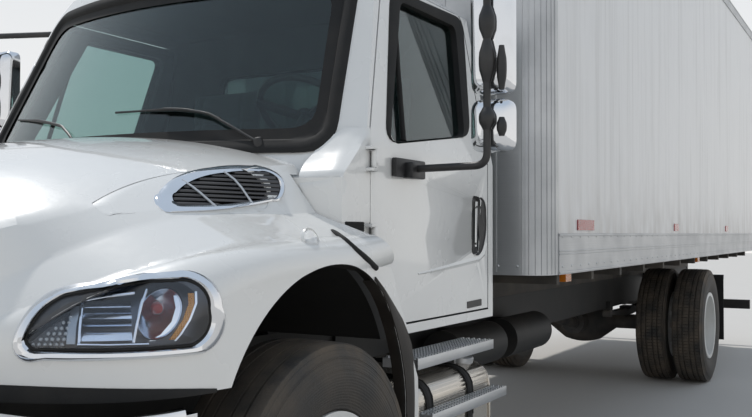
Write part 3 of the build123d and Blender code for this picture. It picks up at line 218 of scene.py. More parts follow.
def chrome(name, colour=(0.78, 0.79, 0.81), roughness=0.06):
    finish = Finish(name, colour, roughness, 1.0)
    smear = finish.noise(14.0, 4.0)
    finish.set("Roughness", roughness + finish.between(smear, 0.45, 0.8) * 0.12)
    dull = finish.between(smear, 0.4, 0.8) * 0.3
    finish.set("Base Color", finish.mix(dull, finish.colour, tint(colour, 0.82)))
    return finish.material


# Grained moulded plastic
def plastic(name, colour, roughness=0.5, grain=0.0003, dust=0.15):
    finish = Finish(name, colour, roughness)
    cells = finish.noise(420.0, 2.0)
    cloud = finish.between(finish.noise(7.0, 4.0), 0.4, 0.75) * dust
    finish.set("Base Color", finish.mix(cloud, finish.colour, (0.30, 0.27, 0.23, 1)))
    finish.set("Roughness", roughness - 0.05 + cells * 0.12 + cloud * 0.6)
    finish.bump(cells, grain)
    return finish.material


# Painted chassis steel and castings, with road dust on them
def chassisPaint(name, colour, roughness=0.55, dust=0.4, lump=0.0008):
    finish = Finish(name, colour, roughness)
    cloud = finish.between(finish.noise(5.0, 6.0), 0.36, 0.7)
    up = finish.node("ShaderNodeNewGeometry", output="Normal")
    facing = finish.node("ShaderNodeSeparateXYZ", {}, {0: up}, output="Z")
    mask = cloud * dust * (0.55 + finish.between(facing, 0.1, 1.0) * 0.9)
    finish.set("Base Color", finish.mix(mask, finish.colour, (0.25, 0.215, 0.175, 1)))
    finish.set("Roughness", roughness + mask * 0.4)
    finish.bump(finish.noise(70.0, 5.0), lump)
    return finish.material


def glass(name, colour, roughness=0.0):
    finish = Finish(name, colour, roughness, transmission_weight=1.0, ior=1.45)
    smear = finish.between(finish.noise(3.0, 6.0, (1, 1, 0.5)), 0.5, 0.8)
    finish.set("Roughness", roughness + smear * 0.03)
    return finish.material


def lensPlastic(name, colour):
    finish = Finish(name, colour, 0.15, coat_weight=0.6, transmission_weight=0.3, ior=1.49)
    cells = finish.wave(55.0, "Z") + finish.wave(55.0, "X")
    finish.set("Base Color", finish.mix(cells * 0.2, finish.colour, tint(colour, 0.6)))
    finish.bump(cells, 0.0008)
    return finish.material


# Tyre rubber: brown dust on the tread and shoulder, darker sidewall
def tyreRubber(name, axleX):
    look = {"colour": (0.028, 0.027, 0.026), "dust": (0.16, 0.125, 0.09, 1), "tread": 0.50, "wall": 0.40}
    finish = Finish(name, look["colour"], 0.72)
    radius = finish.reachFrom(axleX, axleHeight)
    outer = finish.between(radius, look["wall"], look["tread"])
    cloud = finish.between(finish.noise(8.0, 6.0), 0.3, 0.75)
    rings = finish.node("ShaderNodeMath", {"operation": "SINE"}, {0: radius * 700.0})
    mask = cloud * (0.25 + outer * 0.5)
    finish.set("Base Color", finish.mix(mask, finish.colour, look["dust"]))
    finish.set("Roughness", 0.62 + mask * 0.3)
    finish.bump(rings * 0.25 + finish.noise(160.0, 3.0), 0.0012)
    return finish.material


def wovenCloth(name, colour):
    finish = Finish(name, colour, 0.9, sheen_weight=0.3)
    weave = finish.wave(260.0, "X") * finish.wave(260.0, "Z") + finish.wave(260.0, "Y")
    finish.set("Base Color", finish.mix(weave * 0.5, finish.colour, tint(colour, 1.7)))
    finish.bump(weave, 0.0008)
    return finish.material


finishes = {
    "cab_white": whitePaint("whitePaint"),
    "box_white": panelPaint(),
    "box_aluminium": bareAluminium("boxAluminium", (0.50, 0.51, 0.52), (0.05, 0.05, 3.0)),
    "rim_white": chassisPaint("rimWhite", (0.74, 0.74, 0.72), 0.35, 0.22, 0.0003),
    "chassis_black": chassisPaint("frameBlack", (0.008, 0.008, 0.008), 0.6, 0.10),
    "axle_black": chassisPaint("castingBlack", (0.03, 0.03, 0.032), 0.65, 0.6, 0.0018),
    "engine_grey": chassisPaint("engineGrey", (0.10, 0.105, 0.11), 0.6, 0.4, 0.0018),
    "radiator_core": bareAluminium("radiatorCore", (0.22, 0.225, 0.23), (3, 0.1, 3)),
    "bumper_chrome": chrome("bumperChrome"),
    "grille_chrome": chrome("trimChrome"),
    "glass_tint": glass("greenGlass", (0.46, 0.60, 0.58)),
    "dash_grey": plastic("dashGrey", (0.040, 0.046, 0.046), 0.6),
    "wheel_black": plastic("rimBlack", (0.02, 0.02, 0.021), 0.42),
    "seat_base": chassisPaint("seatBase", (0.03, 0.03, 0.03)),
    "seat_cloth": wovenCloth("seatCloth", (0.10, 0.105, 0.115)),
    # the tank's warm brown tint is a painted reflection of brown ground, not the metal's own colour
    "tank_aluminium": bareAluminium("polishedAluminiumPaintedGround", (0.60, 0.56, 0.50), (0.06, 3, 3), 0.16, 0.25),
    "step_aluminium": bareAluminium("stepAluminium", (0.58, 0.59, 0.60), (0.06, 3, 3), 0.34, 0.3),
    "steel_worn": chassisPaint("wornSteel", (0.13, 0.10, 0.085), 0.6, 0.5, 0.002),
    "floor_dark": chassisPaint("floorDark", (0.05, 0.045, 0.04), 0.7, 0.5, 0.002),
    "tyre": tyreRubber("rearRubber", rearAxleX),
    "liner_black": plastic("linerBlack", (0.014, 0.012, 0.010), 0.65, 0.0006, 0.10),
    "lamp_clear": glass("lampClear", (0.95, 0.97, 1.0)),
    "mirror_black": plastic("armBlack", (0.016, 0.016, 0.017), 0.4, 0.0002, 0.1),
    "rubber_black": plastic("rubberBlack", (0.008, 0.008, 0.008), 0.8, 0.0005, 0.04),
    "lamp_red": lensPlastic("lensRed", (0.55, 0.012, 0.015)),
    "lamp_amber": lensPlastic("lensAmber", (0.85, 0.26, 0.02)),
}
cabPaint = whitePaint("cabPaint", 0.655)
frontRubber = tyreRubber("frontRubber", frontAxleX)
print("stage: finishes made")

slotOf = {part["node"]: part["material_slot"] for part in frame["record"]["subparts"]}
bodyOf = {}
for bodyName, members in frame["record"]["behaviour"]["bodies"].items():
    for member in members:
        bodyOf[member] = bodyName
for nodeName, nodeObject in nodes.items():
    for materialSlot in nodeObject.material_slots:
        materialSlot.material = finishes[slotOf[nodeName]]


# Camera at the photo's place, over a plain pale floor
def addCamera():
    view = {"place": (6.795, 2.694, 1.386), "heading": 29.32, "rise": 1.46, "roll": 0.12, "lens": 43.98}
    data = bpy.data.cameras.new("photoCamera")
    data.lens = view["lens"]
    data.sensor_width = 36.0
    data.clip_end = 200.0
    camera = bpy.data.objects.new("photoCamera", data)
    bpy.context.scene.collection.objects.link(camera)
    heading = math.radians(view["heading"])
    rise = math.radians(view["rise"])
    level = math.cos(rise)
    ahead = Vector((-math.cos(heading) * level, -math.sin(heading) * level, math.sin(rise)))
    turn = ahead.to_track_quat("-Z", "Y") @ Quaternion((0, 0, 1), math.radians(view["roll"]))
    camera.rotation_mode = "QUATERNION"
    camera.rotation_quaternion = turn
    camera.location = view["place"]
    bpy.context.scene.camera = camera


def addFloor():
    bm = bmesh.new()
    bmesh.ops.create_grid(bm, x_segments=1, y_segments=1, size=60.0)
    mesh = bpy.data.meshes.new("floor")
    bm.to_mesh(mesh)
    bm.free()
    floor = bpy.data.objects.new("floor", mesh)
    bpy.context.scene.collection.objects.link(floor)
    finish = Finish("floorPale", (0.62, 0.60, 0.57), 0.85)
    grain = finish.noise(1.2, 6.0)
    finish.set("Base Color", finish.mix(grain * 0.3, finish.colour, (0.55, 0.53, 0.50, 1)))
    mesh.materials.append(finish.material)


def addLight():
    sun = {"energy": 1.9, "size": 3.0, "turn": (30, 0, -28), "colour": (1.0, 0.97, 0.93)}
    data = bpy.data.lights.new("sun", "SUN")
    data.energy = sun["energy"]
    data.color = sun["colour"]
    data.angle = math.radians(sun["size"])
    light = bpy.data.objects.new("sun", data)
    light.rotation_euler = [math.radians(part) for part in sun["turn"]]
    bpy.context.scene.collection.objects.link(light)

    # the sky lights less than the camera, mirrors and glass see of it
    sky = {"horizon": (0.93, 0.92, 0.90, 1), "top": (0.52, 0.61, 0.73, 1), "light": 0.78, "seen": 1.0}
    world = bpy.data.worlds.new("paleSky")
    bpy.context.scene.world = world
    world.use_nodes = True
    tree = world.node_tree
    background = tree.nodes["Background"]
    coordinates = tree.nodes.new("ShaderNodeTexCoord")
    parts = tree.nodes.new("ShaderNodeSeparateXYZ")
    ramp = tree.nodes.new("ShaderNodeValToRGB")
    ramp.color_ramp.elements[0].position = 0.02
    ramp.color_ramp.elements[0].color = sky["horizon"]
    ramp.color_ramp.elements[1].position = 0.75
    ramp.color_ramp.elements[1].color = sky["top"]
    rays = tree.nodes.new("ShaderNodeLightPath")
    seen = tree.nodes.new("ShaderNodeMath")
    seen.operation = "MAXIMUM"
    seenToo = tree.nodes.new("ShaderNodeMath")
    seenToo.operation = "MAXIMUM"
    strength = tree.nodes.new("ShaderNodeMapRange")
    strength.inputs["To Min"].default_value = sky["light"]
    strength.inputs["To Max"].default_value = sky["seen"]
    link = tree.links.new
    link(coordinates.outputs["Generated"], parts.inputs[0])
    link(parts.outputs["Z"], ramp.inputs[0])
    link(rays.outputs["Is Camera Ray"], seen.inputs[0])
    link(rays.outputs["Is Glossy Ray"], seen.inputs[1])
    link(seen.outputs[0], seenToo.inputs[0])
    link(rays.outputs["Is Transmission Ray"], seenToo.inputs[1])
    link(seenToo.outputs[0], strength.inputs["Value"])
    link(ramp.outputs[0], background.inputs["Color"])
    link(strength.outputs[0], background.inputs["Strength"])


addCamera()
addFloor()
addLight()
bpy.context.scene.view_settings.view_transform = "Standard"
print("stage: camera, floor and light")


# Modelling helpers
def block(bm, centre, size, turn=None, soft=0.0, segments=2):
    place = Matrix.Translation(centre) @ (turn or Matrix.Identity(4)) @ Matrix.Diagonal((*size, 1))
    made = bmesh.ops.create_cube(bm, size=1.0, matrix=place)
    if soft:
        edges = list({edge for vert in made["verts"] for edge in vert.link_edges})
        bmesh.ops.bevel(
            bm, geom=edges, offset=soft, segments=segments, affect="EDGES", profile=0.5, material=-1
        )


def rod(bm, start, end, radius, steps):
    run = Vector(end) - Vector(start)
    turn = run.to_track_quat("Z", "Y").to_matrix().to_4x4()
    place = Matrix.Translation((Vector(start) + Vector(end)) / 2) @ turn
    bmesh.ops.create_cone(
        bm, cap_ends=True, segments=steps, radius1=radius, radius2=radius, depth=run.length, matrix=place
    )


def lathe(bm, profile, centre, axis, steps=48):
    axis = Vector(axis).normalized()
    side = axis.orthogonal().normalized()
    verts = [bm.verts.new(Vector(centre) + axis * along + side * radius) for along, radius in profile]
    edges = [bm.edges.new(pair) for pair in zip(verts, verts[1:])]
    bmesh.ops.spin(
        bm, geom=verts + edges, cent=centre, axis=axis, angle=2 * math.pi, steps=steps, use_merge=True
    )


# A share that grows evenly from 0 to 1 as a value runs over a length
def shareAlong(value, start, length):
    return min(1.0, max(0.0, (value - start) / length))


def fromLeft(point):
    return Vector((frontAxleX + point.x, besideY, point.y))


def loopOf(bm, points):
    verts = [bm.verts.new(point) for point in points]
    return [bm.edges.new(pair) for pair in zip(verts, verts[1:] + verts[:1])]


# Bridges closed loops of points, one after the other
def skin(bm, loops, capFirst=False, capLast=False):
    rings = [loopOf(bm, points) for points in loops]
    for one, other in zip(rings, rings[1:]):
        bmesh.ops.bridge_loops(bm, edges=one + other)
    if capFirst:
        bmesh.ops.edgeloop_fill(bm, edges=rings[0])
    if capLast:
        bmesh.ops.edgeloop_fill(bm, edges=rings[-1])


def tube(bm, points, radius, steps=14):
    loops = []
    for index, point in enumerate(points):
        before = points[max(index - 1, 0)]
        after = points[min(index + 1, len(points) - 1)]
        turn = (Vector(after) - Vector(before)).to_track_quat("Z", "Y").to_matrix()
        ring = [Vector((math.cos(a), math.sin(a), 0)) * radius for a in angles(steps)]
        loops.append([Vector(point) + turn @ spoke for spoke in ring])
    skin(bm, loops, True, True)


def angles(count):
    return [2 * math.pi * step / count for step in range(count)]


# Rounds the corners of a route by a radius, with a few points in each
def rounded(points, radius, count=6):
    route = [Vector(points[0])]
    for before, corner, after in zip(points, points[1:], points[2:]):
        corner = Vector(corner)
        start = corner + (Vector(before) - corner).normalized() * radius
        end = corner + (Vector(after) - corner).normalized() * radius
        for step in range(count + 1):
            share = step / count
            route.append((1 - share) ** 2 * start + 2 * share * (1 - share) * corner + share**2 * end)
    return route + [Vector(points[-1])]


def arcPoints(first, middle, last, count=24):
    a, b, c = Vector(first), Vector(middle), Vector(last)
    ab, ac = b - a, c - a
    cross = 2 * (ab.x * ac.y - ab.y * ac.x)
    lift = Vector(
        (
            ac.y * ab.length_squared - ab.y * ac.length_squared,
            ab.x * ac.length_squared - ac.x * ab.length_squared,
        )
    )
    centre = a + lift / cross
    begin = math.atan2(a.y - centre.y, a.x - centre.x)
    finish = math.atan2(c.y - centre.y, c.x - centre.x)
    sweep = (finish - begin) % (2 * math.pi)
    if cross < 0:
        sweep -= 2 * math.pi
    radius = (a - centre).length
    steps = [begin + sweep * step / count for step in range(count + 1)]
    return [centre + radius * Vector((math.cos(angle), math.sin(angle))) for angle in steps]


# An outline of arcs (three points) and lines (two points), as evenly spaced points
def outlineOf(parts, count):
    points = []
    for part in parts:
        points += arcPoints(*part) if len(part) == 3 else [Vector(part[0]), Vector(part[1])]
    return evenly(points, count)


def evenly(points, count):
    runs = [(b - a).length for a, b in zip(points, points[1:] + points[:1])]
    total = sum(runs)
    spaced = []
    index, passed = 0, 0.0
    for step in range(count):
        target = total * step / count
        while passed + runs[index] < target:
            passed += runs[index]
            index += 1
        share = (target - passed) / runs[index] if runs[index] else 0.0
        spaced.append(points[index].lerp(points[(index + 1) % len(points)], share))
    return spaced


# The outline with its extents moved to new ones: left, right, low, high
def fitTo(points, left, right, low, high):
    xs = [point.x for point in points]
    ys = [point.y for point in points]
    wide, tall = max(xs) - min(xs), max(ys) - min(ys)
    return [
        Vector((
            left + (p.x - min(xs)) * (right - left) / wide,
            low + (p.y - min(ys)) * (high - low) / tall,
        ))
        for p in points
    ]


def inset(points, side, height):
    xs = [point.x for point in points]
    ys = [point.y for point in points]
    return fitTo(points, min(xs) + side, max(xs) - side, min(ys) + height, max(ys) - height)


# Left and right ends of an outline at a height
def spanAt(points, height):
    crossings = []
    for a, b in zip(points, points[1:] + points[:1]):
        if (a.y - height) * (b.y - height) < 0:
            crossings.append(a.x + (b.x - a.x) * (height - a.y) / (b.y - a.y))
    return min(crossings), max(crossings)


def treeOf(*names):
    bm = bmesh.new()
    for name in names:
        bm.from_mesh(nodes[name].data)
    tree = BVHTree.FromBMesh(bm)
    bm.free()
    return tree


# A place on the CAD surface, found along a direction from outside, and lifted off it
def landing(tree, start, direction, lift=0.0):
    hit = tree.ray_cast(Vector(start), Vector(direction))
    place = hit[0] if hit[0] else Vector(start)
    return place - Vector(direction).normalized() * lift


# The outermost of five landings, so that a thin cover doesn't sink beside a step
def outermost(tree, start, direction, reach, upright=(0, 0, 1)):
    way = Vector(direction).normalized()
    across = way.cross(Vector(upright)).normalized() * reach
    rise = Vector(upright) * reach
    best = None
    for step in (Vector((0, 0, 0)), across, -across, rise, -rise):
        hit = tree.ray_cast(Vector(start) + step, way)
        if hit[0] and (best is None or hit[3] < best):
            best = hit[3]
    return best


patchReach = 1.2  # a ray that goes further has missed the surface round a hole


# A smooth skin over a hole: the depth of the surface round an outline, carried across its inside
def patchOver(tree, outline, toStart, direction):
    way = Vector(direction).normalized()
    centre = sum(outline, Vector((0, 0))) / len(outline)
    samples = []
    for grow in (0.008, 0.03, 0.055):
        for point in outline[::3]:
            away = (point - centre).normalized()
            spot = point + away * grow
            hit = tree.ray_cast(toStart(spot), way)
            if hit[0] and hit[3] < patchReach:
                samples.append((spot, hit[3]))
    depths = sorted(depth for _, depth in samples)
    samples = [pair for pair in samples if pair[1] < depths[len(depths) * 9 // 10] + 0.15]
    spread = max((point - centre).length for point in outline)
    rows = [terms((spot - centre) / spread) for spot, _ in samples]
    weights = np.linalg.lstsq(np.array(rows), np.array([depth for _, depth in samples]), rcond=None)[0]

    def surface(point, lift=0.0):
        depth = float(np.dot(weights, terms((point - centre) / spread)))
        return toStart(point) + way * (depth - lift)

    return surface


def terms(point):
    return [point.x**i * point.y**j for i in range(5) for j in range(4) if i + j < 5]


def mirrored(bm):
    copied = bmesh.ops.duplicate(bm, geom=bm.verts[:] + bm.edges[:] + bm.faces[:])["geom"]
    verts = [part for part in copied if isinstance(part, bmesh.types.BMVert)]
    faces = [part for part in copied if isinstance(part, bmesh.types.BMFace)]
    bmesh.ops.scale(bm, vec=(1, -1, 1), verts=verts)
    bmesh.ops.reverse_faces(bm, faces=faces)


def flipped(bm):
    twin = bm.copy()
    bmesh.ops.scale(twin, vec=(1, -1, 1), verts=twin.verts)
    bmesh.ops.reverse_faces(twin, faces=twin.faces)
    return twin


def place(bm, name, body, material, slot, replaced=(), angle=35):
    bmesh.ops.remove_doubles(bm, verts=bm.verts, dist=1e-6)
    mesh = bpy.data.meshes.new(name)
    bm.to_mesh(mesh)
    bm.free()
    mesh.shade_smooth()
    mesh.set_sharp_from_angle(angle=math.radians(angle))
    mesh.materials.append(material)
    piece = bpy.data.objects.new(name, mesh)
    bpy.context.scene.collection.objects.link(piece)
    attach(piece, body)
    if replaced:
        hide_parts(*replaced)
    return piece


def placeBoth(bm, name, body, material, slot, replaced=(), angle=35):
    mirrored(bm)
    bmesh.ops.recalc_face_normals(bm, faces=bm.faces)
    return place(bm, name, body, material, slot, replaced, angle)


# One piece on each side's own body, in place of that side's CAD node where one is named
def placePair(bm, name, body, material, slot, angle=35, node=None):
    twin = flipped(bm)
    for made, side in ((bm, "left"), (twin, "right")):
        replaced = (node + "_" + side,) if node else ()
        place(made, name + side.title(), body + "_" + side, material, slot, replaced, angle)


# A CAD node's own form with its edges rounded and its curves shaded smooth
def dress(node, edge):
    angle = 28
    bm = bmesh.new()
    bm.from_mesh(nodes[node].data)
    bmesh.ops.remove_doubles(bm, verts=bm.verts, dist=2e-5)
    slot = slotOf[node]
    piece = place(bm, node + "_dressed", bodyOf[node], finishes[slot], slot, (node,), angle)
    bevel = piece.modifiers.new("edge", "BEVEL")
    bevel.width = edge
    bevel.segments = 2
    bevel.limit_method = "ANGLE"
    bevel.angle_limit = math.radians(angle)
    bevel.harden_normals = True
    return piece


# Faces that look towards the inside of a shell, or straight down, get a dark finish
def darken(piece, centre, material):
    mesh = piece.data
    mesh.materials.append(material)
    for polygon in mesh.polygons:
        inward = (Vector(centre) - polygon.center).dot(polygon.normal) > 0.02
        if inward or polygon.normal.z < -0.9:
            polygon.material_index = 1


dressedNodes = {
    0.003: ("hood_shell", "cab_shell", "door_left", "door_right", "dashboard"),
    0.002: ("fuel_tank", "battery_box", "front_bumper", "rear_bumper", "box_rear_frame"),
    0.0015: ("rim_front_left", "rim_front_right", "rims_rear_left", "rims_rear_right", "box_front_wall"),
}
dressed = {}
for edgeWidth, members in dressedNodes.items():
    for member in members:
        dressed[member] = dress(member, edgeWidth)
dressed["cab_shell"].data.materials[0] = cabPaint
darken(dressed["cab_shell"], (3.3, 0.0, 1.85), finishes["dash_grey"])
darken(dressed["hood_shell"], (4.5, 0.0, 1.10), finishes["liner_black"])
darken(dressed["door_left"], (3.3, 0.2, 1.70), finishes["dash_grey"])
darken(dressed["door_right"], (3.3, -0.2, 1.70), finishes["dash_grey"])
print("stage: CAD forms dressed")


# Headlamps on the hood's corners: chrome bezel, thin seal, clear lens and what shows behind it
def addHeadlamps():
    lamp = {"origin": (frontAxleX + 0.70, 1.05, 1.17), "turn": 50.0, "deep": 0.07, "points": 96}
    turn = math.radians(lamp["turn"])
    across = Vector((-math.sin(turn), math.cos(turn), 0))
    out = Vector((math.cos(turn), math.sin(turn), 0))

    def start(point):
        return Vector(lamp["origin"]) + across * point.x + Vector((0, 0, point.y)) + out * 0.5

    outerParts = (
        ((-0.302, -0.060), (-0.270, 0.014), (-0.213, 0.064)),
        ((-0.213, 0.064), (-0.165, 0.080), (-0.112, 0.087)),
        ((-0.112, 0.087), (0.006, 0.109), (0.094, 0.116)),
        ((0.094, 0.116), (0.180, 0.094), (0.215, 0.020)),
        ((0.215, 0.020), (0.208, -0.071), (0.151, -0.101)),
        ((0.151, -0.101), (-0.050, -0.102), (-0.240, -0.101)),
        ((-0.240, -0.101), (-0.288, -0.095), (-0.302, -0.060)),
    )
    innerParts = (
        ((-0.272, -0.050), (-0.241, 0.013), (-0.186, 0.056)),
        ((-0.186, 0.056), (-0.140, 0.066), (-0.090, 0.071)),
        ((-0.090, 0.071), (0.020, 0.088), (0.092, 0.091)),
        ((0.092, 0.091), (0.157, 0.074), (0.178, 0.012)),
        ((0.178, 0.012), (0.172, -0.046), (0.132, -0.076)),
        ((0.132, -0.076), (-0.050, -0.077), (-0.236, -0.074)),
        ((-0.236, -0.074), (-0.264, -0.068), (-0.272, -0.050)),
    )
    openParts = (
        ((-0.290, -0.070), (-0.150, 0.030), (0.060, 0.094)),
        ((0.060, 0.094), (0.155, 0.086), (0.205, 0.020)),
        ((0.205, 0.020), (0.198, -0.067), (0.147, -0.092)),
        ((0.147, -0.092), (-0.040, -0.0925), (-0.240, -0.092)),
        ((-0.240, -0.092), (-0.278, -0.087), (-0.290, -0.070)),
    )
    outer, inner, opening = [
        outlineOf(parts, lamp["points"]) for parts in (outerParts, innerParts, openParts)
    ]
    tree = treeOf("hood_shell")
    spot = patchOver(tree, outer, start, -out)

    # on the patch, or on the hood's own skin where that stands further out, inboard of the lens
    def hug(point, lift):
        base = spot(point, 0.0)
        depth = outermost(tree, start(point), -out, 0.009)
        rise = (start(point) - base).length - depth if depth else 0.0
        share = shareAlong(-point.x, -0.03, 0.05)
        return base + out * (lift + (max(rise, 0.0) * share if abs(rise) < 0.04 else 0.0))

    lensLine = inset(inner, 0.006, 0.006)
    middle = Vector((-0.02, 0.0))

    def at(across, height, lift):
        return spot(Vector((across, height)), lift)

    def plate(bm, path, wide, front, back):
        loops = []
        for x, z in path:
            corners = ((x, front), (x + wide, front), (x + wide, back), (x, back))
            loops.append([at(along, z, lift) for along, lift in corners])
        skin(bm, loops, True, True)

    bezel = bmesh.new()
    band(bezel, hug, outer, inner, (
        (0, -0.008), (0, 0.003), (0.12, 0.013), (0.40, 0.021), (0.75, 0.020), (1.0, 0.010), (1.0, 0.001),
    ))
    seal = bmesh.new()
    band(seal, hug, inner, lensLine, ((0, 0.002), (0, 0.011), (0.5, 0.012), (1.0, 0.009), (1.0, 0.001)))
    lens = bmesh.new()

    def dish(lift):
        shares = (0.0, 0.12, 0.3, 0.5, 0.7, 0.88)
        return [
            [spot(p.lerp(middle, s), lift + 0.010 * math.sin(s * 1.8)) for p in lensLine] for s in shares
        ]

    skin(lens, dish(0.010)[::-1] + dish(0.0075), True, True)
    dark = bmesh.new()
    shares = (0.0, 0.2, 0.4, 0.6, 0.8, 0.96)
    skin(dark, [[hug(a.lerp(b, share), 0.0012) for a, b in zip(inner, opening)] for share in shares])
    tray = bmesh.new()
    floor = -lamp["deep"]
    depths = (
        (0, 0.0012), (0.02, -0.03), (0.06, 0.8 * floor), (0.16, floor), (0.45, floor), (0.75, floor),
    )
    rings = [[spot(p.lerp(middle, share), lift) for p in opening] for share, lift in depths]
    skin(tray, rings, False, True)

    # a chamber of slanted bright shelves
    bright = bmesh.new()
    shelves = (
        (0.022, 0.034, -0.030), (-0.004, 0.016, -0.026),
        (-0.022, -0.010, -0.034), (-0.056, -0.034, -0.024),
    )
    for low, high, deep in shelves:
        loops = []
        for step in range(7):
            x = -0.140 + 0.020 * step
            loops.append([
                at(x, low, deep + 0.008),
                at(x, (low + high) / 2, deep + 0.003),
                at(x, high, deep - 0.012),
                at(x, high - 0.002, deep - 0.015),
                at(x, low, deep - 0.004),
            ])
        skin(bright, loops, True, True)
    # frames of the chamber and of the bowl
    for path in (
        ((-0.146, -0.060), (-0.143, -0.02), (-0.136, 0.034)),
        ((-0.018, -0.062), (-0.010, -0.02), (0.004, 0.030), (0.020, 0.066)),
        ((-0.136, 0.040), (-0.080, 0.050), (-0.010, 0.058)),
        ((-0.150, -0.064), (-0.080, -0.066), (0.020, -0.067)),
    ):
        tube(bright, [at(x, z, -0.014) for x, z in path], 0.0042, 8)
    # the bright crescents each side of the amber strip
    crescent = ((0.140, 0.060), (0.139, 0.030), (0.122, -0.010), (0.098, -0.045), (0.082, -0.062))
    plate(bright, crescent, 0.006, -0.004, -0.012)
    crescent = ((0.086, 0.050), (0.090, 0.020), (0.078, -0.015), (0.050, -0.045), (0.020, -0.060))
    plate(bright, crescent, 0.016, -0.018, -0.024)
    amber = bmesh.new()
    strip = ((0.122, 0.056), (0.122, 0.030), (0.106, -0.010), (0.084, -0.040), (0.070, -0.058))
    plate(amber, strip, 0.016, -0.005, -0.014)
    panel = bmesh.new()
    plate(panel, ((-0.176, -0.062), (-0.172, -0.02), (-0.162, 0.026)), 0.020, -0.010, -0.016)

    # the reflector's bowl leans outboard, with the bulb's cap in it
    bowl = bmesh.new()
    centre, lean = Vector((0.050, 0.006)), 0.25
    wide, tall = 0.052, 0.060
    depths = (
        (1.08, -0.016), (1.03, -0.012), (0.97, -0.018), (0.85, -0.034),
        (0.6, -0.05), (0.3, -0.06), (0.1, -0.064),
    )
    loops = []
    for share, lift in depths:
        ring = [Vector((math.cos(a) * wide, math.sin(a) * tall)) * share for a in angles(40)]
        loops.append([spot(centre + p + Vector((p.y * lean, 0)), lift) for p in ring])
    skin(bowl, loops, False, True)
    bulb = bmesh.new()
    capProfile = ((0.0, 0.017), (0.020, 0.017), (0.034, 0.012), (0.040, 0.0))
    lathe(bulb, capProfile, at(0.046, 0.018, -0.058), out, 20)

    # the dark slope inboard, and rows of small domes on it
    slope = bmesh.new()
    edge = (
        (-0.268, -0.070), (-0.240, -0.045), (-0.215, -0.024),
        (-0.190, -0.006), (-0.180, 0.004), (-0.180, -0.072),
    )
    skin(slope, [[at(x, z, lift) for x, z in edge] for lift in (-0.020, -0.012)], True, True)
    ribs = bmesh.new()
    domes = {"rows": 6, "across": 0.0135, "up": 0.013, "lean": 0.004, "radius": 0.0058}
    for row in range(domes["rows"]):
        for column in range(domes["rows"]):
            x = -0.252 + domes["across"] * column + domes["lean"] * row
            z = -0.064 + domes["up"] * row
            if z < -0.066 + 0.72 * (x + 0.268):
                dome(ribs, at(x, z, -0.012), out, domes["radius"])
    for bm, name, material, slot, replaced in (
        (bezel, "headlampBezels", finishes["bumper_chrome"], "grille_chrome", ("headlights",)),
        (seal, "headlampSeals", finishes["rubber_black"], "rubber_black", ()),
        (lens, "headlampLenses", finishes["lamp_clear"], "lamp_clear", ("headlight_lenses",)),
        (tray, "headlampTrays", trayChromePaintedSky, "dash_grey", ()),
        (bright, "headlampShelves", reflector, "grille_chrome", ()),
        (bowl, "headlampBowls", bowlChromePaintedSky, "grille_chrome", ()),
        (bulb, "headlampBulbs", bulbRed, "lamp_red", ()),
        (panel, "headlampPanels", lampPanel, "grille_chrome", ()),
        (slope, "headlampSlopes", lampDark, "dash_grey", ()),
        (dark, "headlampShelf", lampDark, "dash_grey", ()),
        (ribs, "headlampDomes", lampPanel, "grille_chrome", ()),
        (amber, "headlampAmber", lampAmber, "lamp_amber", ()),
    ):
        placeBoth(bm, name, "hood", material, slot, replaced)


def band(bm, spot, outer, inner, profile):
    skin(bm, [[spot(a.lerp(b, share), lift) for a, b in zip(outer, inner)] for share, lift in profile])


def dome(bm, spot, out, radius):
    lathe(bm, ((0.0, radius), (radius * 0.45, radius * 0.7), (radius * 0.6, 0.0)), spot, out, 6)


# the bowl chrome's light blue is a painted reflection of the sky
bowlChromePaintedSky = chrome("lampBowl", (0.62, 0.67, 0.75), 0.12)
lampDark = plastic("lampDark", (0.07, 0.075, 0.085), 0.3, 0.0002, 0.05)
# the tray's dark chrome is tinted blue: a painted reflection of the sky
trayChromePaintedSky = chrome("trayChromePaintedSky", (0.17, 0.19, 0.23), 0.4)
# the panel chrome's blue-grey is a painted reflection of the sky
lampPanel = chrome("lampPanel", (0.40, 0.44, 0.48), 0.35)
lampAmber = lensPlastic("lampAmber", (0.95, 0.40, 0.03))
bulbRed = plastic("bulbRed", (0.30, 0.035, 0.03), 0.2, 0.0001, 0.0)
# the reflector chrome's blue tint is a painted reflection of the sky; the mirror panes use it too
reflector = chrome("lampReflectorPaintedSky", (0.80, 0.86, 0.95), 0.16)
ventGrey = plastic("ventGrey", (0.055, 0.057, 0.065), 0.4, 0.0002, 0.1)
addHeadlamps()
print("stage: headlamps")


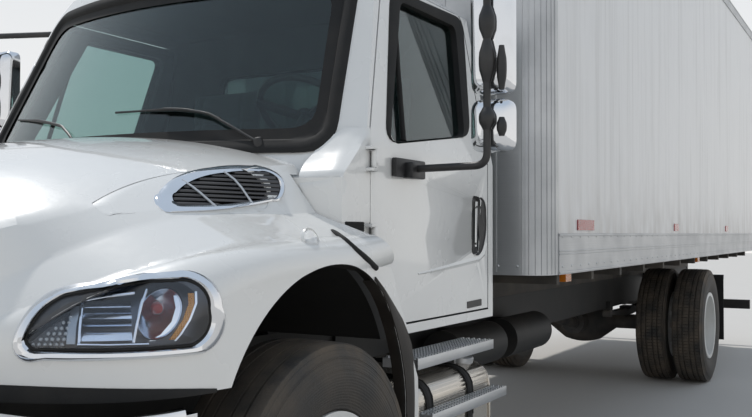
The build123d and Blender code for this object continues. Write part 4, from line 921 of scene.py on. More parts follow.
# Louvred vents on the hood's flanks, with a cover over the front end of their opening
def addVents():
    vent = {
        "points": 90, "slats": 9, "steps": 18, "clear": 0.003, "sunk": 0.014, "back": 0.026,
        "inner": (-0.110, 0.338, 1.464, 1.588),
    }
    hole = (
        ((0.560, 1.466), (0.330, 1.545), (0.060, 1.590)),
        ((0.060, 1.590), (-0.020, 1.575), (-0.044, 1.520)),
        ((-0.044, 1.520), (-0.010, 1.470), (0.060, 1.458)),
        ((0.060, 1.458), (0.540, 1.440)),
        ((0.540, 1.440), (0.566, 1.448), (0.560, 1.466)),
    )
    parts = (
        ((0.402, 1.456), (0.392, 1.474), (0.355, 1.499)),
        ((0.355, 1.499), (0.228, 1.560), (0.080, 1.596)),
        ((0.080, 1.596), (0.000, 1.607), (-0.060, 1.608)),
        ((-0.060, 1.608), (-0.118, 1.594), (-0.130, 1.546)),
        ((-0.130, 1.546), (-0.108, 1.506), (-0.048, 1.487)),
        ((-0.048, 1.487), (0.114, 1.463), (0.283, 1.447)),
        ((0.283, 1.447), (0.390, 1.442)),
        ((0.390, 1.442), (0.402, 1.446), (0.402, 1.456)),
    )

    holeLine = outlineOf(hole, vent["points"])
    spot = patchOver(treeOf("hood_shell"), holeLine, fromLeft, rightward)
    outer = outlineOf(parts, vent["points"])
    inner = fitTo(outer, *vent["inner"])

    # sunk in front, and standing on the skin behind the opening
    def depth(x, deep):
        return 0.003 - (deep + 0.003) * shareAlong(x, -0.060, 0.05)

    def level(points, deep):
        return [spot(p, depth(p.x, deep)) for p in points]

    surround = bmesh.new()
    band(surround, spot, outer, inner, (
        (0, -0.006), (0, 0.005), (0.15, 0.011), (0.6, 0.014), (0.9, 0.011), (1.0, 0.004), (1.0, 0.001),
    ))
    skin(surround, [[spot(p, 0.001) for p in inner], level(inner, vent["back"])])
    back = bmesh.new()
    middle = Vector((0.12, 1.525))
    shares = (0.0, 0.15, 0.3, 0.6, 0.9)
    rings = [level([p.lerp(middle, share) for p in inner], vent["back"]) for share in shares]
    skin(back, rings, False, True)
    slats = bmesh.new()
    low, high = vent["inner"][2:]
    pitch = (high - low) / vent["slats"]
    for row in range(vent["slats"]):
        height = low + pitch * (row + 0.5)
        left, right = spanAt(inner, height)
        loops = []
        for step in range(vent["steps"] + 1):
            x = left + vent["clear"] + (right - left - 2 * vent["clear"]) * step / vent["steps"]
            base = spot(Vector((x, height)), depth(x, vent["sunk"]))
            nose = spot(Vector((x, height)), 0.006)
            rise = Vector((0, 0, pitch * 0.36))
            loops.append([
                base - rise * 0.2, nose - rise, nose - rise * 0.5, nose + rise * 0.15, base + rise,
            ])
        skin(slats, loops, True, True)
    bars = bmesh.new()
    for one, other in (((0.218, 1.462), (0.240, 1.545)), ((0.055, 1.474), (0.075, 1.580))):
        line = [Vector(one).lerp(Vector(other), share) for share in (0.0, 0.25, 0.5, 0.75, 1.0)]
        tube(bars, [spot(point, 0.008) for point in line], 0.0045, 8)
    cover = bmesh.new()
    grown = inset(holeLine, -0.006, -0.006)
    kept = [a.lerp(b, 0.5) for a, b in zip(outer, inner)]
    band(cover, spot, grown, kept, ((0, -0.004), (0, 0.0006), (0.3, 0.0014), (1.0, 0.0014)))
    for bm, name, material, slot, replaced in (
        (surround, "ventSurrounds", finishes["grille_chrome"], "grille_chrome", ("hood_vents",)),
        (back, "ventBacks", finishes["rubber_black"], "rubber_black", ()),
        (slats, "ventSlats", ventGrey, "mirror_black", ()),
        (bars, "ventBars", finishes["step_aluminium"], "grille_chrome", ()),
        (cover, "ventCovers", finishes["cab_white"], "cab_white", ()),
    ):
        placeBoth(bm, name, "hood", material, slot, replaced)


addVents()
print("stage: hood vents")


# Rubber seals round the windscreen, the rear glass and the door windows
def addSeals():
    seal = {
        "wide": 0.044, "inside": 0.050, "points": 150,
        "frontX": frontAxleX + 1.0, "rearX": frontAxleX - 3.0,
    }
    screenProfile = (
        (0.0, -0.004), (0.0, 0.004), (0.08, 0.007), (0.16, 0.009), (0.26, 0.009), (0.36, 0.007),
        (0.44, 0.004), (0.5, 0.003), (0.56, 0.0025), (0.64, 0.002), (0.76, 0.002),
        (1.0, 0.002), (1.0, 0.0),
    )
    rearProfile = ((0, -0.004), (0, 0.003), (0.3, 0.005), (0.8, 0.003), (1.0, -0.006), (1.0, -0.012))
    windowProfile = ((0, -0.006), (0, 0.003), (0.2, 0.006), (0.8, 0.006), (1.0, 0.003), (1.0, -0.028))
    screenTree = treeOf("cab_shell", "cab_glass")

    def front(point, lift):
        depth = outermost(screenTree, (seal["frontX"], point.x, point.y), (-1, 0, 0), 0.007)
        return Vector((seal["frontX"] - depth + lift, point.x, point.y))

    def rear(point, lift):
        return landing(screenTree, (seal["rearX"], point.x, point.y), (1, 0, 0), lift)

    screen = roundedQuad(((-0.905, 1.715), (0.905, 1.715), (0.815, 2.400), (-0.815, 2.400)), 0.10)
    glassLine = evenly(screen, seal["points"])
    bm = bmesh.new()
    grown = inset(glassLine, -seal["wide"], -seal["wide"])
    band(bm, front, grown, inset(glassLine, seal["inside"], seal["inside"]), screenProfile)
    back = roundedQuad(((-0.56, 1.76), (0.56, 1.76), (0.56, 2.24), (-0.56, 2.24)), 0.06)
    rearLine = evenly(back, 60)
    band(bm, rear, inset(rearLine, -0.02, -0.02), inset(rearLine, 0.012, 0.012), rearProfile)
    bmesh.ops.recalc_face_normals(bm, faces=bm.faces)
    place(bm, "screenSeals", "chassis", finishes["rubber_black"], "rubber_black")

    window = roundedQuad(((-0.612, 1.715), (-1.365, 1.812), (-1.490, 2.352), (-0.925, 2.352)), 0.045)
    inner = inset(evenly(window, 120), 0.012, 0.008)
    outside = roundedQuad(((-0.590, 1.722), (-1.425, 1.822), (-1.590, 2.405), (-0.855, 2.385)), 0.085)
    outer = evenly(outside, 120)
    side = patchOver(treeOf("door_left"), outer, fromLeft, rightward)
    bm = bmesh.new()
    band(bm, side, outer, inner, windowProfile)
    # the upright bar of the quarter light
    bar = ((-0.772, 1.745), (-0.83, 2.05), (-0.888, 2.30))
    tube(bm, [side(Vector(p), -0.014) for p in bar], 0.011, 10)
    bmesh.ops.recalc_face_normals(bm, faces=bm.faces)
    placePair(bm, "windowSeal", "door", finishes["rubber_black"], "rubber_black")


def oblong(left, right, low, high):
    return ((left, low), (right, low), (right, high), (left, high))


# A four-cornered outline with round corners
def roundedQuad(corners, radius):
    points = []
    count = len(corners)
    for index in range(count):
        corner = Vector(corners[index])
        before = Vector(corners[index - 1])
        after = Vector(corners[(index + 1) % count])
        start = corner + (before - corner).normalized() * radius
        end = corner + (after - corner).normalized() * radius
        for step in range(7):
            share = step / 6
            points.append((1 - share) ** 2 * start + 2 * share * (1 - share) * corner + share**2 * end)
    return points


addSeals()
print("stage: window seals")


# Wipers lying across the foot of the windscreen
def addWipers():
    wiper = {"arm": 0.0055, "blade": 0.0045, "yoke": 0.004, "lift": 0.022, "low": 0.008}
    hub = ((0, 0.020), (0.02, 0.018), (0.03, 0.012), (0.032, 0))
    tree = treeOf("cab_shell", "cab_glass")

    def spot(y, z, lift):
        return landing(tree, (frontAxleX + 1.0, y, z), (-1, 0, 0), lift)

    bm = bmesh.new()
    routes = (
        {
            "pivot": (0.685, 1.712),
            "arm": ((0.565, 1.775), (0.457, 1.830), (0.34, 1.852), (0.25, 1.858)),
            "blade": ((0.50, 1.812), (0.42, 1.836), (0.308, 1.853), (0.167, 1.858), (0.0, 1.859)),
        },
        {
            "pivot": (-0.150, 1.728),
            "arm": ((-0.202, 1.773), (-0.293, 1.822), (-0.42, 1.848), (-0.53, 1.866)),
            "blade": ((-0.30, 1.818), (-0.40, 1.840), (-0.53, 1.862), (-0.66, 1.880), (-0.77, 1.892)),
        },
    )
    for route in routes:
        pivot = spot(*route["pivot"], 0.012)
        arm = [pivot] + [spot(y, z, wiper["lift"]) for y, z in route["arm"]]
        tube(bm, rounded(arm, 0.02), wiper["arm"], 8)
        lathe(bm, hub, pivot - Vector((0.01, 0, 0.012)), (0.3, 0, 1), 20)
        tube(bm, [spot(y, z, wiper["low"]) for y, z in route["blade"]], wiper["blade"], 6)

        # the yoke between the arm's end and the blade
        first = spot(*route["blade"][1], 0.010)
        top = spot(*route["arm"][-1], wiper["lift"] - 0.004)
        last = spot(*route["blade"][3], 0.010)
        tube(bm, [first, top, last], wiper["yoke"], 6)
    bmesh.ops.recalc_face_normals(bm, faces=bm.faces)
    place(bm, "wipers", "chassis", finishes["mirror_black"], "mirror_black")


addWipers()


# Mirrors: black tube and clamps, bright heads with glass facing back
def addMirrors():
    mirror = {"x": frontAxleX - 0.75, "y": 1.384, "tube": 0.0145, "bend": 0.05, "round": 0.045}
    heads = (
        {"z": 2.12, "wide": 0.165, "high": 0.42},
        {"z": 1.79, "wide": 0.165, "high": 0.20},
    )
    atX, atY = mirror["x"], mirror["y"]
    tubes = bmesh.new()
    top = (frontAxleX - 0.835, 0.955, 2.385)
    corners = ((atX, 1.06, 1.63), (atX, atY, 1.635), (atX, atY, 2.40), top)
    tube(tubes, rounded(corners, mirror["bend"]), mirror["tube"])
    block(tubes, (atX, 1.058, 1.632), (0.25, 0.022, 0.072), None, 0.006)
    block(tubes, (atX + 0.015, 1.075, 1.624), (0.07, 0.05, 0.062), None, 0.008)

    # clamps on the tube, and slimmer ones behind the heads
    clampLine = (0.016, 0.022, 0.029, 0.031, 0.031, 0.029, 0.022, 0.016)
    pads = (
        (0.0, 0.0, 2.170, 0.122), (0.0, 0.0, 2.023, 0.158), (0.0, 0.0, 1.809, 0.083),
        (-0.016, 0.052, 1.998, 0.165), (-0.016, 0.052, 1.778, 0.070),
    )
    for back, out, z, tall in pads:
        share = 0.62 if out else 1.0
        profile = [(-tall / 2, 0.0)]
        profile += [(tall * (step / 7 - 0.5), radius * share) for step, radius in enumerate(clampLine)]
        profile += [(tall / 2, 0.0)]
        lathe(tubes, profile, (atX + back, atY + out, z), (0, 0, 1), 20)

    # bright shells that close in towards the front, and the glass that faces back
    shells = bmesh.new()
    panes = bmesh.new()
    stations = (
        (-0.108, -0.008), (-0.104, 0.0), (-0.060, 0.0),
        (-0.038, -0.008), (-0.024, -0.024), (-0.018, -0.045),
    )
    for head in heads:
        loops = []
        for x, grow in stations:
            half, rise = head["wide"] / 2 + grow, head["high"] / 2 + grow
            outline = oblong(atY - 0.006 - half, atY - 0.006 + half, head["z"] - rise, head["z"] + rise)
            loops.append([Vector((atX + x, p.x, p.y)) for p in roundedQuad(outline, mirror["round"])])
        skin(shells, loops, False, True)
        pane = [Vector((atX - 0.105, point.y, point.z)) for point in loops[0]]
        inner = [point + Vector((0.004, 0, 0)) for point in pane]
        skin(panes, [pane, inner], True, True)
    for bm in (tubes, shells, panes):
        bmesh.ops.recalc_face_normals(bm, faces=bm.faces)
    placePair(shells, "mirrorShell", "door", finishes["grille_chrome"], "grille_chrome", 50)
    # the panes' blue tint is a painted reflection of the sky
    placePair(panes, "mirrorPane", "door", reflector, "grille_chrome")
    placePair(tubes, "mirrorArm", "door", finishes["mirror_black"], "mirror_black", 35, "mirror")


addMirrors()
print("stage: wipers and mirrors")


# Tyres: ribbed in front, block tread behind, with moulded rings on the sidewalls
tyre = {
    "steps": 108, "radius": axleHeight, "half": 0.108, "crown": 0.004,
    "grooves": (0.070, 0.028), "width": 0.0045, "depth": 0.012, "slope": 0.001,
    "tread": 0.5185, "rim": 0.517, "blockGap": 0.0035, "cut": 0.009,
    "wall": (
        (0.1115, 0.2868), (0.1115, 0.308), (0.121, 0.314), (0.1235, 0.324), (0.131, 0.345),
        (0.1375, 0.378), (0.1398, 0.404), (0.1390, 0.428), (0.1372, 0.4335), (0.1384, 0.4365),
        (0.1364, 0.4460), (0.1325, 0.468), (0.1300, 0.4705), (0.1312, 0.4740), (0.1270, 0.4770),
        (0.1215, 0.495), (0.1188, 0.4975), (0.1170, 0.5130), (0.108, 0.5180),
    ),
}


def addTyre(name, body, axleX, centres, replaced, blocks, material):
    bm = bmesh.new()
    for y in centres:
        side = list(tyre["wall"])
        for groove in tyre["grooves"]:
            crown = tyre["radius"] - tyre["crown"] * (groove / tyre["half"]) ** 2
            floor = crown - tyre["depth"]
            outer, inner = groove + tyre["width"], groove - tyre["width"]
            side += [(outer, crown), (outer - tyre["slope"], floor)]
            side += [(inner + tyre["slope"], floor), (inner, crown)]
        profile = side + [(-across, radius) for across, radius in side[::-1]]
        profile.append(profile[0])
        lathe(bm, profile, (axleX, y, axleHeight), (0, 1, 0), tyre["steps"])
    bmesh.ops.remove_doubles(bm, verts=bm.verts, dist=1e-5)
    if blocks:
        cutBlocks(bm, axleX)
    bmesh.ops.recalc_face_normals(bm, faces=bm.faces)
    place(bm, name, body, material, "tyre", replaced, 30)


# Insets the tread's faces and sinks the gaps between them
def cutBlocks(bm, axleX):
    tread = []
    for face in bm.faces:
        middle = face.calc_center_median()
        radius = math.hypot(middle.x - axleX, middle.z - axleHeight)
        if radius > tyre["tread"] and abs(face.normal.y) < 0.3 and face.calc_area() > 0.0003:
            tread.append(face)
    bmesh.ops.inset_individual(bm, faces=tread, thickness=tyre["blockGap"], depth=0.0)
    gaps = set()
    for face in tread:
        for edge in face.edges:
            for other in edge.link_faces:
                if other is not face and abs(other.normal.y) < 0.5:
                    gaps.add(other)
    tops = {vert for face in tread for vert in face.verts}
    for vert in {vert for face in gaps for vert in face.verts} - tops:
        spoke = Vector((vert.co.x - axleX, 0, vert.co.z - axleHeight))
        if spoke.length > tyre["rim"]:
            vert.co -= spoke.normalized() * tyre["cut"]


for sideName, sideSign in (("left", 1), ("right", -1)):
    addTyre(
        "tyreFront_" + sideName, "wheel_front_" + sideName, frontAxleX, (sideSign * 1.06,),
        ("tyre_front_" + sideName,), False, frontRubber,
    )
    addTyre(
        "tyresRear_" + sideName, "wheel_rear_" + sideName, rearAxleX, (sideSign * 1.08, sideSign * 0.76),
        ("tyres_rear_" + sideName,), True, finishes["tyre"],
    )
print("stage: tyres")


def onWheel(axleX, y, angle, radius):
    return Vector((axleX + radius * math.cos(angle), y, axleHeight + radius * math.sin(angle)))


# Wheel nuts on their studs, and the bolts of the hubs' flanges
def addNuts():
    wheel = {
        "circle": 0.1675, "nuts": 10, "size": 0.0165, "long": 0.03, "washer": 0.004, "stud": 0.012,
        "flange": 0.062, "bolts": 8, "boltLong": 0.01,
    }
    wheels = (("wheel_front", frontAxleX, 1.13, 1.188), ("wheel_rear", rearAxleX, 0.932, 1.12))
    for body, axleX, disc, hub in wheels:
        bm = bmesh.new()
        for angle in angles(wheel["nuts"]):
            foot = onWheel(axleX, disc, angle, wheel["circle"])
            head = onWheel(axleX, disc + wheel["long"], angle, wheel["circle"])
            rod(bm, foot, head, wheel["size"], 6)
            rod(bm, foot, foot + Vector((0, wheel["washer"], 0)), wheel["size"] * 1.35, 14)
            rod(bm, head, head + Vector((0, wheel["stud"], 0)), 0.009, 10)
        for angle in angles(wheel["bolts"]):
            foot = onWheel(axleX, hub, angle, wheel["flange"])
            rod(bm, foot, foot + Vector((0, wheel["boltLong"], 0)), 0.0085, 6)
        placePair(bm, "wheelNuts_" + body, body, finishes["steel_worn"], "steel_worn")


addNuts()


# Straps round the tank, and at the same place on the right, with the tank's cap and seams
def addTank():
    tank = {
        "front": frontAxleX - 0.65, "long": 0.70, "in": 0.56, "out": 1.145, "low": 0.43, "high": 0.82,
        "round": 0.1305, "seam": 0.003, "straps": (0.07, 0.455), "wide": 0.055,
    }
    middle = ((tank["in"] + tank["out"]) / 2, (tank["low"] + tank["high"]) / 2)
    straps = bmesh.new()
    tankTree = treeOf("fuel_tank")
    spokes = [Vector((0, math.cos(angle), math.sin(angle))) for angle in angles(60)]
    for along in tank["straps"]:
        loops = []
        for x in (0.0, tank["wide"]):
            centre = Vector((tank["front"] - along - x, *middle))
            loops.append([landing(tankTree, centre + spoke * 0.6, -spoke, 0.005) for spoke in spokes])
        skin(straps, loops)
        for edge in (0.003, tank["wide"] - 0.003):
            x = tank["front"] - along - edge
            tube(straps, [Vector((x, p.y, p.z)) for p in loops[0]] + [loops[0][0]], 0.004, 6)
    strapPiece = placeBoth(straps, "tankStraps", "chassis", finishes["rubber_black"], "rubber_black")
    wall = strapPiece.modifiers.new("wall", "SOLIDIFY")
    wall.thickness = 0.003
    cap = bmesh.new()
    spot = (tank["front"] - 0.62, tank["out"] - 0.11, tank["high"] - 0.02)
    profile = ((0, 0.05), (0.028, 0.05), (0.03, 0.056), (0.05, 0.056), (0.056, 0.05), (0.058, 0))
    lathe(cap, profile, spot, (0, 0.25, 1), 32)
    place(cap, "fuelCap", "chassis", finishes["step_aluminium"], "step_aluminium")
    seams = bmesh.new()
    proud = tank["seam"]
    corners = oblong(tank["in"] - proud, tank["out"] + proud, tank["low"] - proud, tank["high"] + proud)
    outline = roundedQuad(corners, tank["round"])
    for x in (tank["front"] - 0.006, tank["front"] - tank["long"] + 0.006):
        tube(seams, [Vector((x, p.x, p.y)) for p in outline + outline[:1]], 0.005, 8)
    place(seams, "tankSeams", "chassis", finishes["tank_aluminium"], "tank_aluminium")


# Serrated treads: raised teeth in rows on each step
def addTreads():
    tread = {"front": frontAxleX - 0.655, "run": 0.74, "pitch": 0.025, "tooth": (0.016, 0.007, 0.008)}
    bm = bmesh.new()
    rows = {0.908: (1.012, 1.038, 1.064, 1.090, 1.116, 1.138), 0.708: (1.155, 1.178, 1.199)}
    for z, ys in rows.items():
        for y in ys:
            for step in range(int(tread["run"] / tread["pitch"])):
                x = tread["front"] - 0.012 - tread["pitch"] * step
                block(bm, (x, y, z + tread["tooth"][2] / 2 - 0.001), tread["tooth"])
    mirrored(bm)
    place(bm, "stepTeeth", "chassis", finishes["step_aluminium"], "step_aluminium")
    edges = bmesh.new()
    x = tread["front"] - tread["run"] / 2
    for z, y in ((0.891, 1.145), (0.691, 1.2055)):
        block(edges, (x, y, z), (tread["run"] + 0.004, 0.005, 0.042), None, 0.002)
    mirrored(edges)
    place(edges, "stepEdges", "chassis", finishes["step_aluminium"], "step_aluminium")


addTank()
addTreads()
print("stage: wheels, tank and steps")


# Door furniture: handle in its pocket, raised crease, bare badge plate
def addDoorTrim():
    tree = treeOf("door_left")

    def side(point, lift):
        return landing(tree, fromLeft(point), rightward, lift)

    handle = (
        ((-1.394, 1.32), (-1.390, 1.43), (-1.398, 1.51)),
        ((-1.398, 1.51), (-1.420, 1.542), (-1.470, 1.542)),
        ((-1.470, 1.542), (-1.535, 1.528), (-1.553, 1.47)),
        ((-1.553, 1.47), (-1.555, 1.40), (-1.530, 1.335)),
        ((-1.530, 1.335), (-1.490, 1.290), (-1.420, 1.285)),
        ((-1.420, 1.285), (-1.398, 1.292), (-1.394, 1.32)),
    )
    outer = outlineOf(handle, 60)
    cup = inset(outer, 0.010, 0.010)
    middle = Vector((-1.475, 1.42))
    bm = bmesh.new()
    band(bm, side, outer, cup, ((0, -0.003), (0, 0.003), (0.5, 0.005), (1.0, 0.002), (1.0, -0.001)))
    depths = ((0, 0.001), (0.3, 0.0012), (0.8, 0.0015))
    skin(bm, [[side(p.lerp(middle, share), lift) for p in cup] for share, lift in depths], False, True)

    # the grip, bowed outwards between its ends
    grip = {
        "x": -1.485, "z": 1.42, "lean": 0.1, "half": 0.017, "bow": 0.012, "fall": 2400, "least": 0.002,
    }
    loops = []
    for z in (1.335, 1.36, 1.42, 1.48, 1.505):
        x = grip["x"] + (z - grip["z"]) * grip["lean"]
        bow = grip["bow"] - grip["fall"] * (z - grip["z"]) ** 4
        front, back = [side(Vector((x + along, z)), 0.0) for along in (-grip["half"], grip["half"])]
        up = Vector((0, max(bow, grip["least"]), 0))
        loops.append([front, front + up, back + up, back])
    skin(bm, loops, True, True)
    bmesh.ops.recalc_face_normals(bm, faces=bm.faces)
    placePair(bm, "doorHandle", "door", finishes["mirror_black"], "mirror_black", 40)
    plate = bmesh.new()
    corners = roundedQuad(((-1.338, 1.047), (-1.498, 1.050), (-1.498, 1.080), (-1.338, 1.077)), 0.006)
    skin(plate, [[side(p, lift) for p in corners] for lift in (-0.001, 0.003)], False, True)
    placePair(plate, "doorPlate", "door", finishes["wheel_black"], "mirror_black")
    crease = bmesh.new()
    line = (
        (-0.854, 1.219), (-1.058, 1.232), (-1.295, 1.250),
        (-1.474, 1.263), (-1.533, 1.285), (-1.560, 1.331),
    )
    path = [Vector(point) for point in line]
    loops = []
    for index, point in enumerate(path):
        tall = 0.005 + 0.011 * min(1.0, index / 2)
        up = Vector((0, tall)) if index < 4 else Vector((tall * 0.8, tall * 0.6))
        section = ((-1.0, -0.001), (0.0, 0.0045), (0.2, 0.0035), (1.0, -0.001))
        loops.append([side(point + up * share, lift) for share, lift in section])
    skin(crease, loops, True, True)
    bmesh.ops.recalc_face_normals(crease, faces=crease.faces)
    placePair(crease, "doorCrease", "door", finishes["cab_white"], "cab_white")


addDoorTrim()


# Marker lamps in their rings on the fenders, and small grilles on the cowl's flanks
def addFlankTrim():
    hoodTree = treeOf("hood_shell")
    cabTree = treeOf("cab_shell")
    spot = landing(hoodTree, fromLeft(Vector((0.061, 1.358))), rightward)
    lens = ((-0.01, 0.034), (0.004, 0.034), (0.010, 0.028), (0.015, 0.016), (0.017, 0.0))
    ring = ((0.0, 0.034), (0.006, 0.041), (0.0, 0.044), (-0.006, 0.044))
    for name, profile, slot in (
        ("fenderMarkers", lens, "lamp_clear"),
        ("markerRings", ring, "cab_white"),
    ):
        bm = bmesh.new()
        lathe(bm, profile, spot, (0, 1, 0.35), 28)
        placeBoth(bm, name, "hood", finishes[slot], slot)
    grille = bmesh.new()
    centre = landing(cabTree, fromLeft(Vector((-0.354, 1.404))), rightward, 0.002)
    block(grille, centre, (0.125, 0.008, 0.036), None, 0.003)
    for row in range(4):
        block(grille, centre + Vector((0, 0.005, -0.012 + 0.008 * row)), (0.114, 0.004, 0.003))
    mirrored(grille)
    place(grille, "cowlGrilles", "chassis", finishes["rubber_black"], "rubber_black")


# Rubber strips on the fenders' shoulders, and mouldings along the wheel arches
def addFenderTrim():
    arch = {"centre": Vector(archCentre), "radius": 0.537, "least": 1.05, "plain": 1.150, "wrap": 0.045}
    tree = treeOf("hood_shell")

    def side(point, lift):
        hit = tree.ray_cast(Vector((point.x, besideY, point.y)), Vector(rightward))
        found = hit[0].y if hit[0] and hit[0].y > arch["least"] else arch["plain"]
        return Vector((point.x, found + lift, point.y))

    strip = bmesh.new()
    line = (
        (-0.160, 1.075, 1.385), (-0.142, 1.102, 1.379), (-0.116, 1.156, 1.356),
        (-0.137, 1.181, 1.327), (-0.187, 1.190, 1.300), (-0.287, 1.171, 1.264),
    )
    tube(strip, rounded([(frontAxleX + s, y, z) for s, y, z in line], 0.018), 0.0105, 10)
    placeBoth(strip, "fenderStrips", "hood", finishes["rubber_black"], "rubber_black", (), 40)

    # the moulding's upper edge, and under it the arch's rim, from which it wraps inwards
    moulding = bmesh.new()
    line = (
        (-0.278, 1.235), (-0.355, 1.193), (-0.429, 1.145), (-0.526, 1.071),
        (-0.560, 1.026), (-0.585, 0.979), (-0.603, 0.925), (-0.615, 0.871),
        (-0.621, 0.81), (-0.622, 0.75), (-0.622, 0.67), (-0.622, 0.61),
    )
    loops = []
    for s, z in line:
        outer = Vector((frontAxleX + s, z))
        centre = arch["centre"]
        inner = centre + (outer - centre).normalized() * arch["radius"]
        if z < centre.y:
            inner = Vector((centre.x - arch["radius"], z))
        rim = side(inner, 0.004)
        crest = side((outer + inner) / 2, 0.009)
        toCentre = Vector((centre.x - inner.x, 0, centre.y - inner.y))
        wrap = rim - Vector((0, arch["wrap"], 0)) + toCentre * 0.008
        end = wrap - Vector((0, 0.004, 0))
        loops.append([side(outer, -0.003), side(outer, 0.004), crest, rim, wrap, end])
    skin(moulding, loops, True, True)
    placeBoth(moulding, "archMouldings", "hood", archBrown, "liner_black", (), 40)


# The hood's lip and the bumper's cap, round the corner about a point inside it
def addFrontEdges():
    turnAt = Vector((frontAxleX + 0.45, 0.70, 0))
    edge = {"low": 0.974, "high": 1.008, "reach": 1.2, "bumper": 0.905, "rear": frontAxleX + 0.56}
    straight = [(y, 0.0) for y in (0.46, 0.52, 0.58, 0.64, 0.70)]
    stations = straight + [(turnAt.y, degrees) for degrees in range(4, 89, 7)]

    def found(tree, y, degrees, z):
        out = Vector((math.cos(math.radians(degrees)), math.sin(math.radians(degrees)), 0))
        start = Vector((turnAt.x, y, z)) + out * edge["reach"]
        return tree.ray_cast(start, -out)[0], out

    lip = bmesh.new()
    hoodTree = treeOf("hood_shell")
    loops = []
    for y, degrees in stations:
        top = edge["high"] - 0.036 * (degrees / 84) ** 2.4
        row = []
        for z, lift, drop in (
            (edge["low"], -0.014, 0.0075), (edge["low"], 0.003, 0.0095), (edge["low"], 0.0045, 0.004),
            ((edge["low"] + top) / 2, 0.004, 0.0), (top, 0.003, 0.0), (top, -0.002, 0.0),
        ):
            spot, out = found(hoodTree, y, degrees, z)
            if spot:
                row.append(spot + out * lift - Vector((0, 0, drop)))
        if len(row) == 6:
            loops.append(row)
    skin(lip, loops, True, True)
    placeBoth(lip, "hoodLips", "hood", finishes["rubber_black"], "rubber_black", (), 40)

    # the cap is low where the tilting hood's nose comes down, then higher, and falls towards the end
    cap = bmesh.new()
    bumperTree = treeOf("front_bumper")
    loops = []
    for y, degrees in [(0.0, 0.0), (0.2, 0.0), (0.4, 0.0)] + stations:
        front, out = found(bumperTree, y, degrees, edge["bumper"])
        if not front:
            continue
        rise = shareAlong(front.y, 0.54, 0.14)
        fall = shareAlong(front.y, 0.78, 0.32)
        top = 0.936 + 0.036 * rise * rise * (3 - 2 * rise) - 0.030 * fall
        section = (
            (-0.002, 0.90), (-0.002, top - 0.016), (0.004, top - 0.004),
            (0.014, top), (0.03, top - 0.002), (0.03, 0.92),
        )
        row = [Vector((front.x, front.y, z)) - out * back for back, z in section]
        if row[0].x > edge["rear"]:
            loops.append(row)
    skin(cap, loops, True, True)
    placeBoth(cap, "bumperCaps", "chassis", finishes["bumper_chrome"], "bumper_chrome", (), 40)


# The cowl's corners, smooth from the screen's foot to the door: a row of places at each height
def addCowlCorners():
    corner = bmesh.new()
    rows = {
        1.42: (
            (-0.234, 0.955), (-0.2455, 0.985), (-0.2545, 1.015),
            (-0.270, 1.0465), (-0.33, 1.0475), (-0.462, 1.0475),
        ),
        1.50: (
            (-0.228, 0.925), (-0.2425, 0.975), (-0.2535, 1.010),
            (-0.270, 1.0455), (-0.33, 1.0475), (-0.462, 1.0475),
        ),
        1.55: (
            (-0.222, 0.900), (-0.240, 0.965), (-0.2535, 1.008),
            (-0.275, 1.042), (-0.33, 1.0475), (-0.462, 1.0475),
        ),
        1.59: (
            (-0.245, 0.885), (-0.252, 0.955), (-0.262, 1.010),
            (-0.283, 1.0465), (-0.345, 1.048), (-0.462, 1.048),
        ),
        1.63: (
            (-0.292, 0.875), (-0.297, 0.945), (-0.308, 1.005),
            (-0.328, 1.0465), (-0.378, 1.048), (-0.462, 1.048),
        ),
        1.68: (
            (-0.342, 0.890), (-0.348, 0.940), (-0.360, 0.995),
            (-0.384, 1.0465), (-0.420, 1.048), (-0.464, 1.048),
        ),
        1.73: (
            (-0.384, 0.925), (-0.392, 0.955), (-0.405, 0.990),
            (-0.438, 1.0380), (-0.453, 1.044), (-0.467, 1.0475),
        ),
        1.765: (
            (-0.420, 0.964), (-0.431, 0.984), (-0.442, 1.002),
            (-0.452, 1.017), (-0.461, 1.030), (-0.470, 1.0430),
        ),
    }
    grid = [[corner.verts.new((frontAxleX + s, y, z)) for s, y in row] for z, row in rows.items()]
    for lower, upper in zip(grid, grid[1:]):
        for index in range(len(lower) - 1):
            corner.faces.new((lower[index], lower[index + 1], upper[index + 1], upper[index]))
    bmesh.ops.subdivide_edges(corner, edges=corner.edges[:], cuts=2, use_grid_fill=True, smooth=1.0)
    placeBoth(corner, "cowlCorners", "chassis", finishes["cab_white"], "cab_white", (), 40)


archBrown = plastic("archBrown", (0.016, 0.012, 0.009), 0.5, 0.0005, 0.06)
addFlankTrim()
addFenderTrim()
addFrontEdges()
addCowlCorners()
print("stage: door and flank trim")


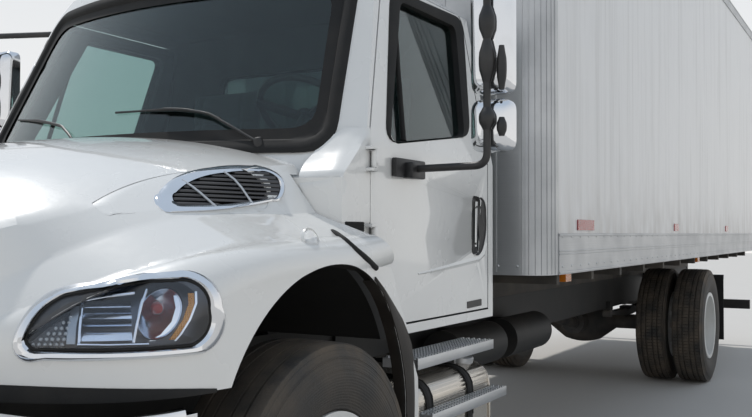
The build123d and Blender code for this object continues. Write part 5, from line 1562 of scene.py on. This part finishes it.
# Seats: padded cushions and backs, swollen as cloth and then sewn along their channels
def addSeats():
    seat = {
        "round": 0.030, "voxel": 0.012, "pressure": 4.0, "frames": 20, "fill": 0.8,
        "cap": 0.022, "kept": 0.6, "crown": 0.012, "waist": 0.010, "seam": 0.012, "width": 0.010,
    }
    forms = {
        "seatPads": {"low": (2.875, 0.215, 1.371), "high": (3.345, 0.685, 1.482), "lean": 0.0},
        "seatBacks": {"low": (2.855, 0.222, 1.515), "high": (2.935, 0.678, 2.145), "lean": -0.085},
    }
    for name, form in forms.items():
        bm = bmesh.new()
        low, high = Vector(form["low"]), Vector(form["high"])
        block(bm, (low + high) / 2, high - low, None, seat["round"], 4)
        mesh = bpy.data.meshes.new(name + "Start")
        bm.to_mesh(mesh)
        bm.free()
        helper = bpy.data.objects.new(name + "Start", mesh)
        bpy.context.scene.collection.objects.link(helper)
        fine = helper.modifiers.new("fine", "REMESH")
        fine.mode = "VOXEL"
        fine.voxel_size = seat["voxel"]
        graph = bpy.context.evaluated_depsgraph_get()
        helper.data = bpy.data.meshes.new_from_object(helper.evaluated_get(graph))
        helper.modifiers.clear()
        before = [vert.co.copy() for vert in helper.data.vertices]
        after = swollen(helper, seat)
        made = bmesh.new()
        made.from_mesh(helper.data)
        made.verts.ensure_lookup_table()
        for vert, start, end in zip(made.verts, before, after):
            vert.co = sewn(name, start, end, low, high, seat)
            vert.co.x += form["lean"] * (vert.co.z - low.z)
        bpy.data.objects.remove(helper)
        mirrored(made)
        replaced = ("seat_cushions",) if name == "seatPads" else ()
        pad = place(made, name, "chassis", finishes["seat_cloth"], "seat_cloth", replaced, 60)
        finer = pad.modifiers.new("finer", "SUBSURF")
        finer.levels = finer.render_levels = 1


# Where the helper's vertices are once the cloth has been blown up
def swollen(helper, seat):
    scene = bpy.context.scene
    cloth = helper.modifiers.new("cloth", "CLOTH")
    cloth.settings.use_pressure = True
    cloth.settings.uniform_pressure_force = seat["pressure"]
    cloth.settings.effector_weights.gravity = 0.0
    cloth.point_cache.frame_end = seat["frames"]
    for step in range(1, seat["frames"] + 1):
        scene.frame_set(step)
    graph = bpy.context.evaluated_depsgraph_get()
    after = [vert.co.copy() for vert in helper.evaluated_get(graph).data.vertices]
    helper.modifiers.clear()
    scene.frame_set(1)
    return after


# Caps the swelling, keeps what rests flat, and draws the channels in
def sewn(name, start, end, low, high, seat):
    move = end - start
    if move.length > seat["cap"]:
        move = move.normalized() * seat["cap"]
    middle = (low + high) / 2
    across = (start.y - middle.y) / (high.y - low.y) * 2
    lines = [abs(abs(start.y - middle.y) - 0.135)]
    if name == "seatPads":
        along = (start.x - middle.x) / (high.x - low.x) * 2
        height = (start.z - low.z) / (high.z - low.z)
        face = max(0.0, height - 0.6) / 0.4
        up = Vector((0, 0, 1))
        lines.append(abs(start.x - (middle.x - 0.06)))
    else:
        along = (start.z - middle.z) / (high.z - low.z) * 2
        height = (start.x - low.x) / (high.x - low.x)
        face = max(0.0, height - 0.5) / 0.5
        up = Vector((1, 0, 0))
        lines.append(abs(start.z - (middle.z + 0.14)))
    spot = start + move * seat["kept"] + up * seat["crown"] * height * (1 - along**2) * (1 - across**2)
    spot.y -= seat["waist"] * (1 if across > 0 else -1) * (1 - along**2) * abs(across) ** 3
    for distance in lines:
        spot -= up * seat["seam"] * face * math.exp(-((distance / seat["width"]) ** 2))
    if name == "seatPads" and start.z < low.z + 0.01:
        spot.z = start.z
    return spot


addSeats()
print("stage: seats")


# Box: rivets, beads along the rails and round the front corners, and ribs on the front wall
def addBoxTrim():
    box = {"front": 2.55, "rear": -5.37, "half": 1.252, "pitch": 0.152, "head": 0.0075, "bead": 0.0035}
    corner = {"radius": 0.14, "count": 7, "first": 6, "step": 13, "low": 1.18, "high": 3.78}
    rivets = bmesh.new()
    for z in (1.365, 1.215, 3.71, 3.775):
        for step in range(int((box["front"] - 0.25 - box["rear"]) / box["pitch"])):
            x = box["front"] - 0.22 - step * box["pitch"]
            dome(rivets, (x, box["half"] + 0.004, z), (0, 1, 0), box["head"])
    for y in [0.1 * step for step in range(-11, 12)]:
        for z in (1.22, 3.75):
            dome(rivets, (box["front"], y, z), (1, 0, 0), box["head"])
    mirrored(rivets)
    place(rivets, "boxRivets", "chassis", finishes["step_aluminium"], "box_aluminium", (), 60)

    # height, thickness and projection of each bead along the rails
    grooves = bmesh.new()
    beads = (
        (1.372, 0.012, 0.004), (1.292, 0.008, 0.003), (1.276, 0.006, 0.003), (1.184, 0.012, 0.005),
        (3.698, 0.012, 0.004), (3.782, 0.012, 0.004),
    )
    rear, front = box["rear"] + 0.092, box["front"] - 0.172
    for z, tall, proud in beads:
        spot = ((rear + front) / 2, box["half"] + 0.004, z)
        block(grooves, spot, (front - rear, proud * 2, tall), None, 0.0015)
    mirrored(grooves)
    place(grooves, "railBeads", "chassis", finishes["box_aluminium"], "box_aluminium")
    bands = bmesh.new()
    for step in range(corner["count"]):
        angle = math.radians(corner["first"] + corner["step"] * step)
        x = box["front"] - corner["radius"] + (corner["radius"] + 0.0005) * math.sin(angle)
        y = box["half"] - corner["radius"] + (corner["radius"] + 0.0005) * math.cos(angle)
        rod(bands, (x, y, corner["low"]), (x, y, corner["high"]), box["bead"], 8)
    for y in [0.14 * step for step in range(-7, 8)]:
        block(bands, (box["front"] + 0.002, y, 2.48), (0.006, 0.03, 2.58), None, 0.002)
    mirrored(bands)
    place(bands, "cornerBeads", "chassis", finishes["box_aluminium"], "box_aluminium")


addBoxTrim()
print("stage: box trim")
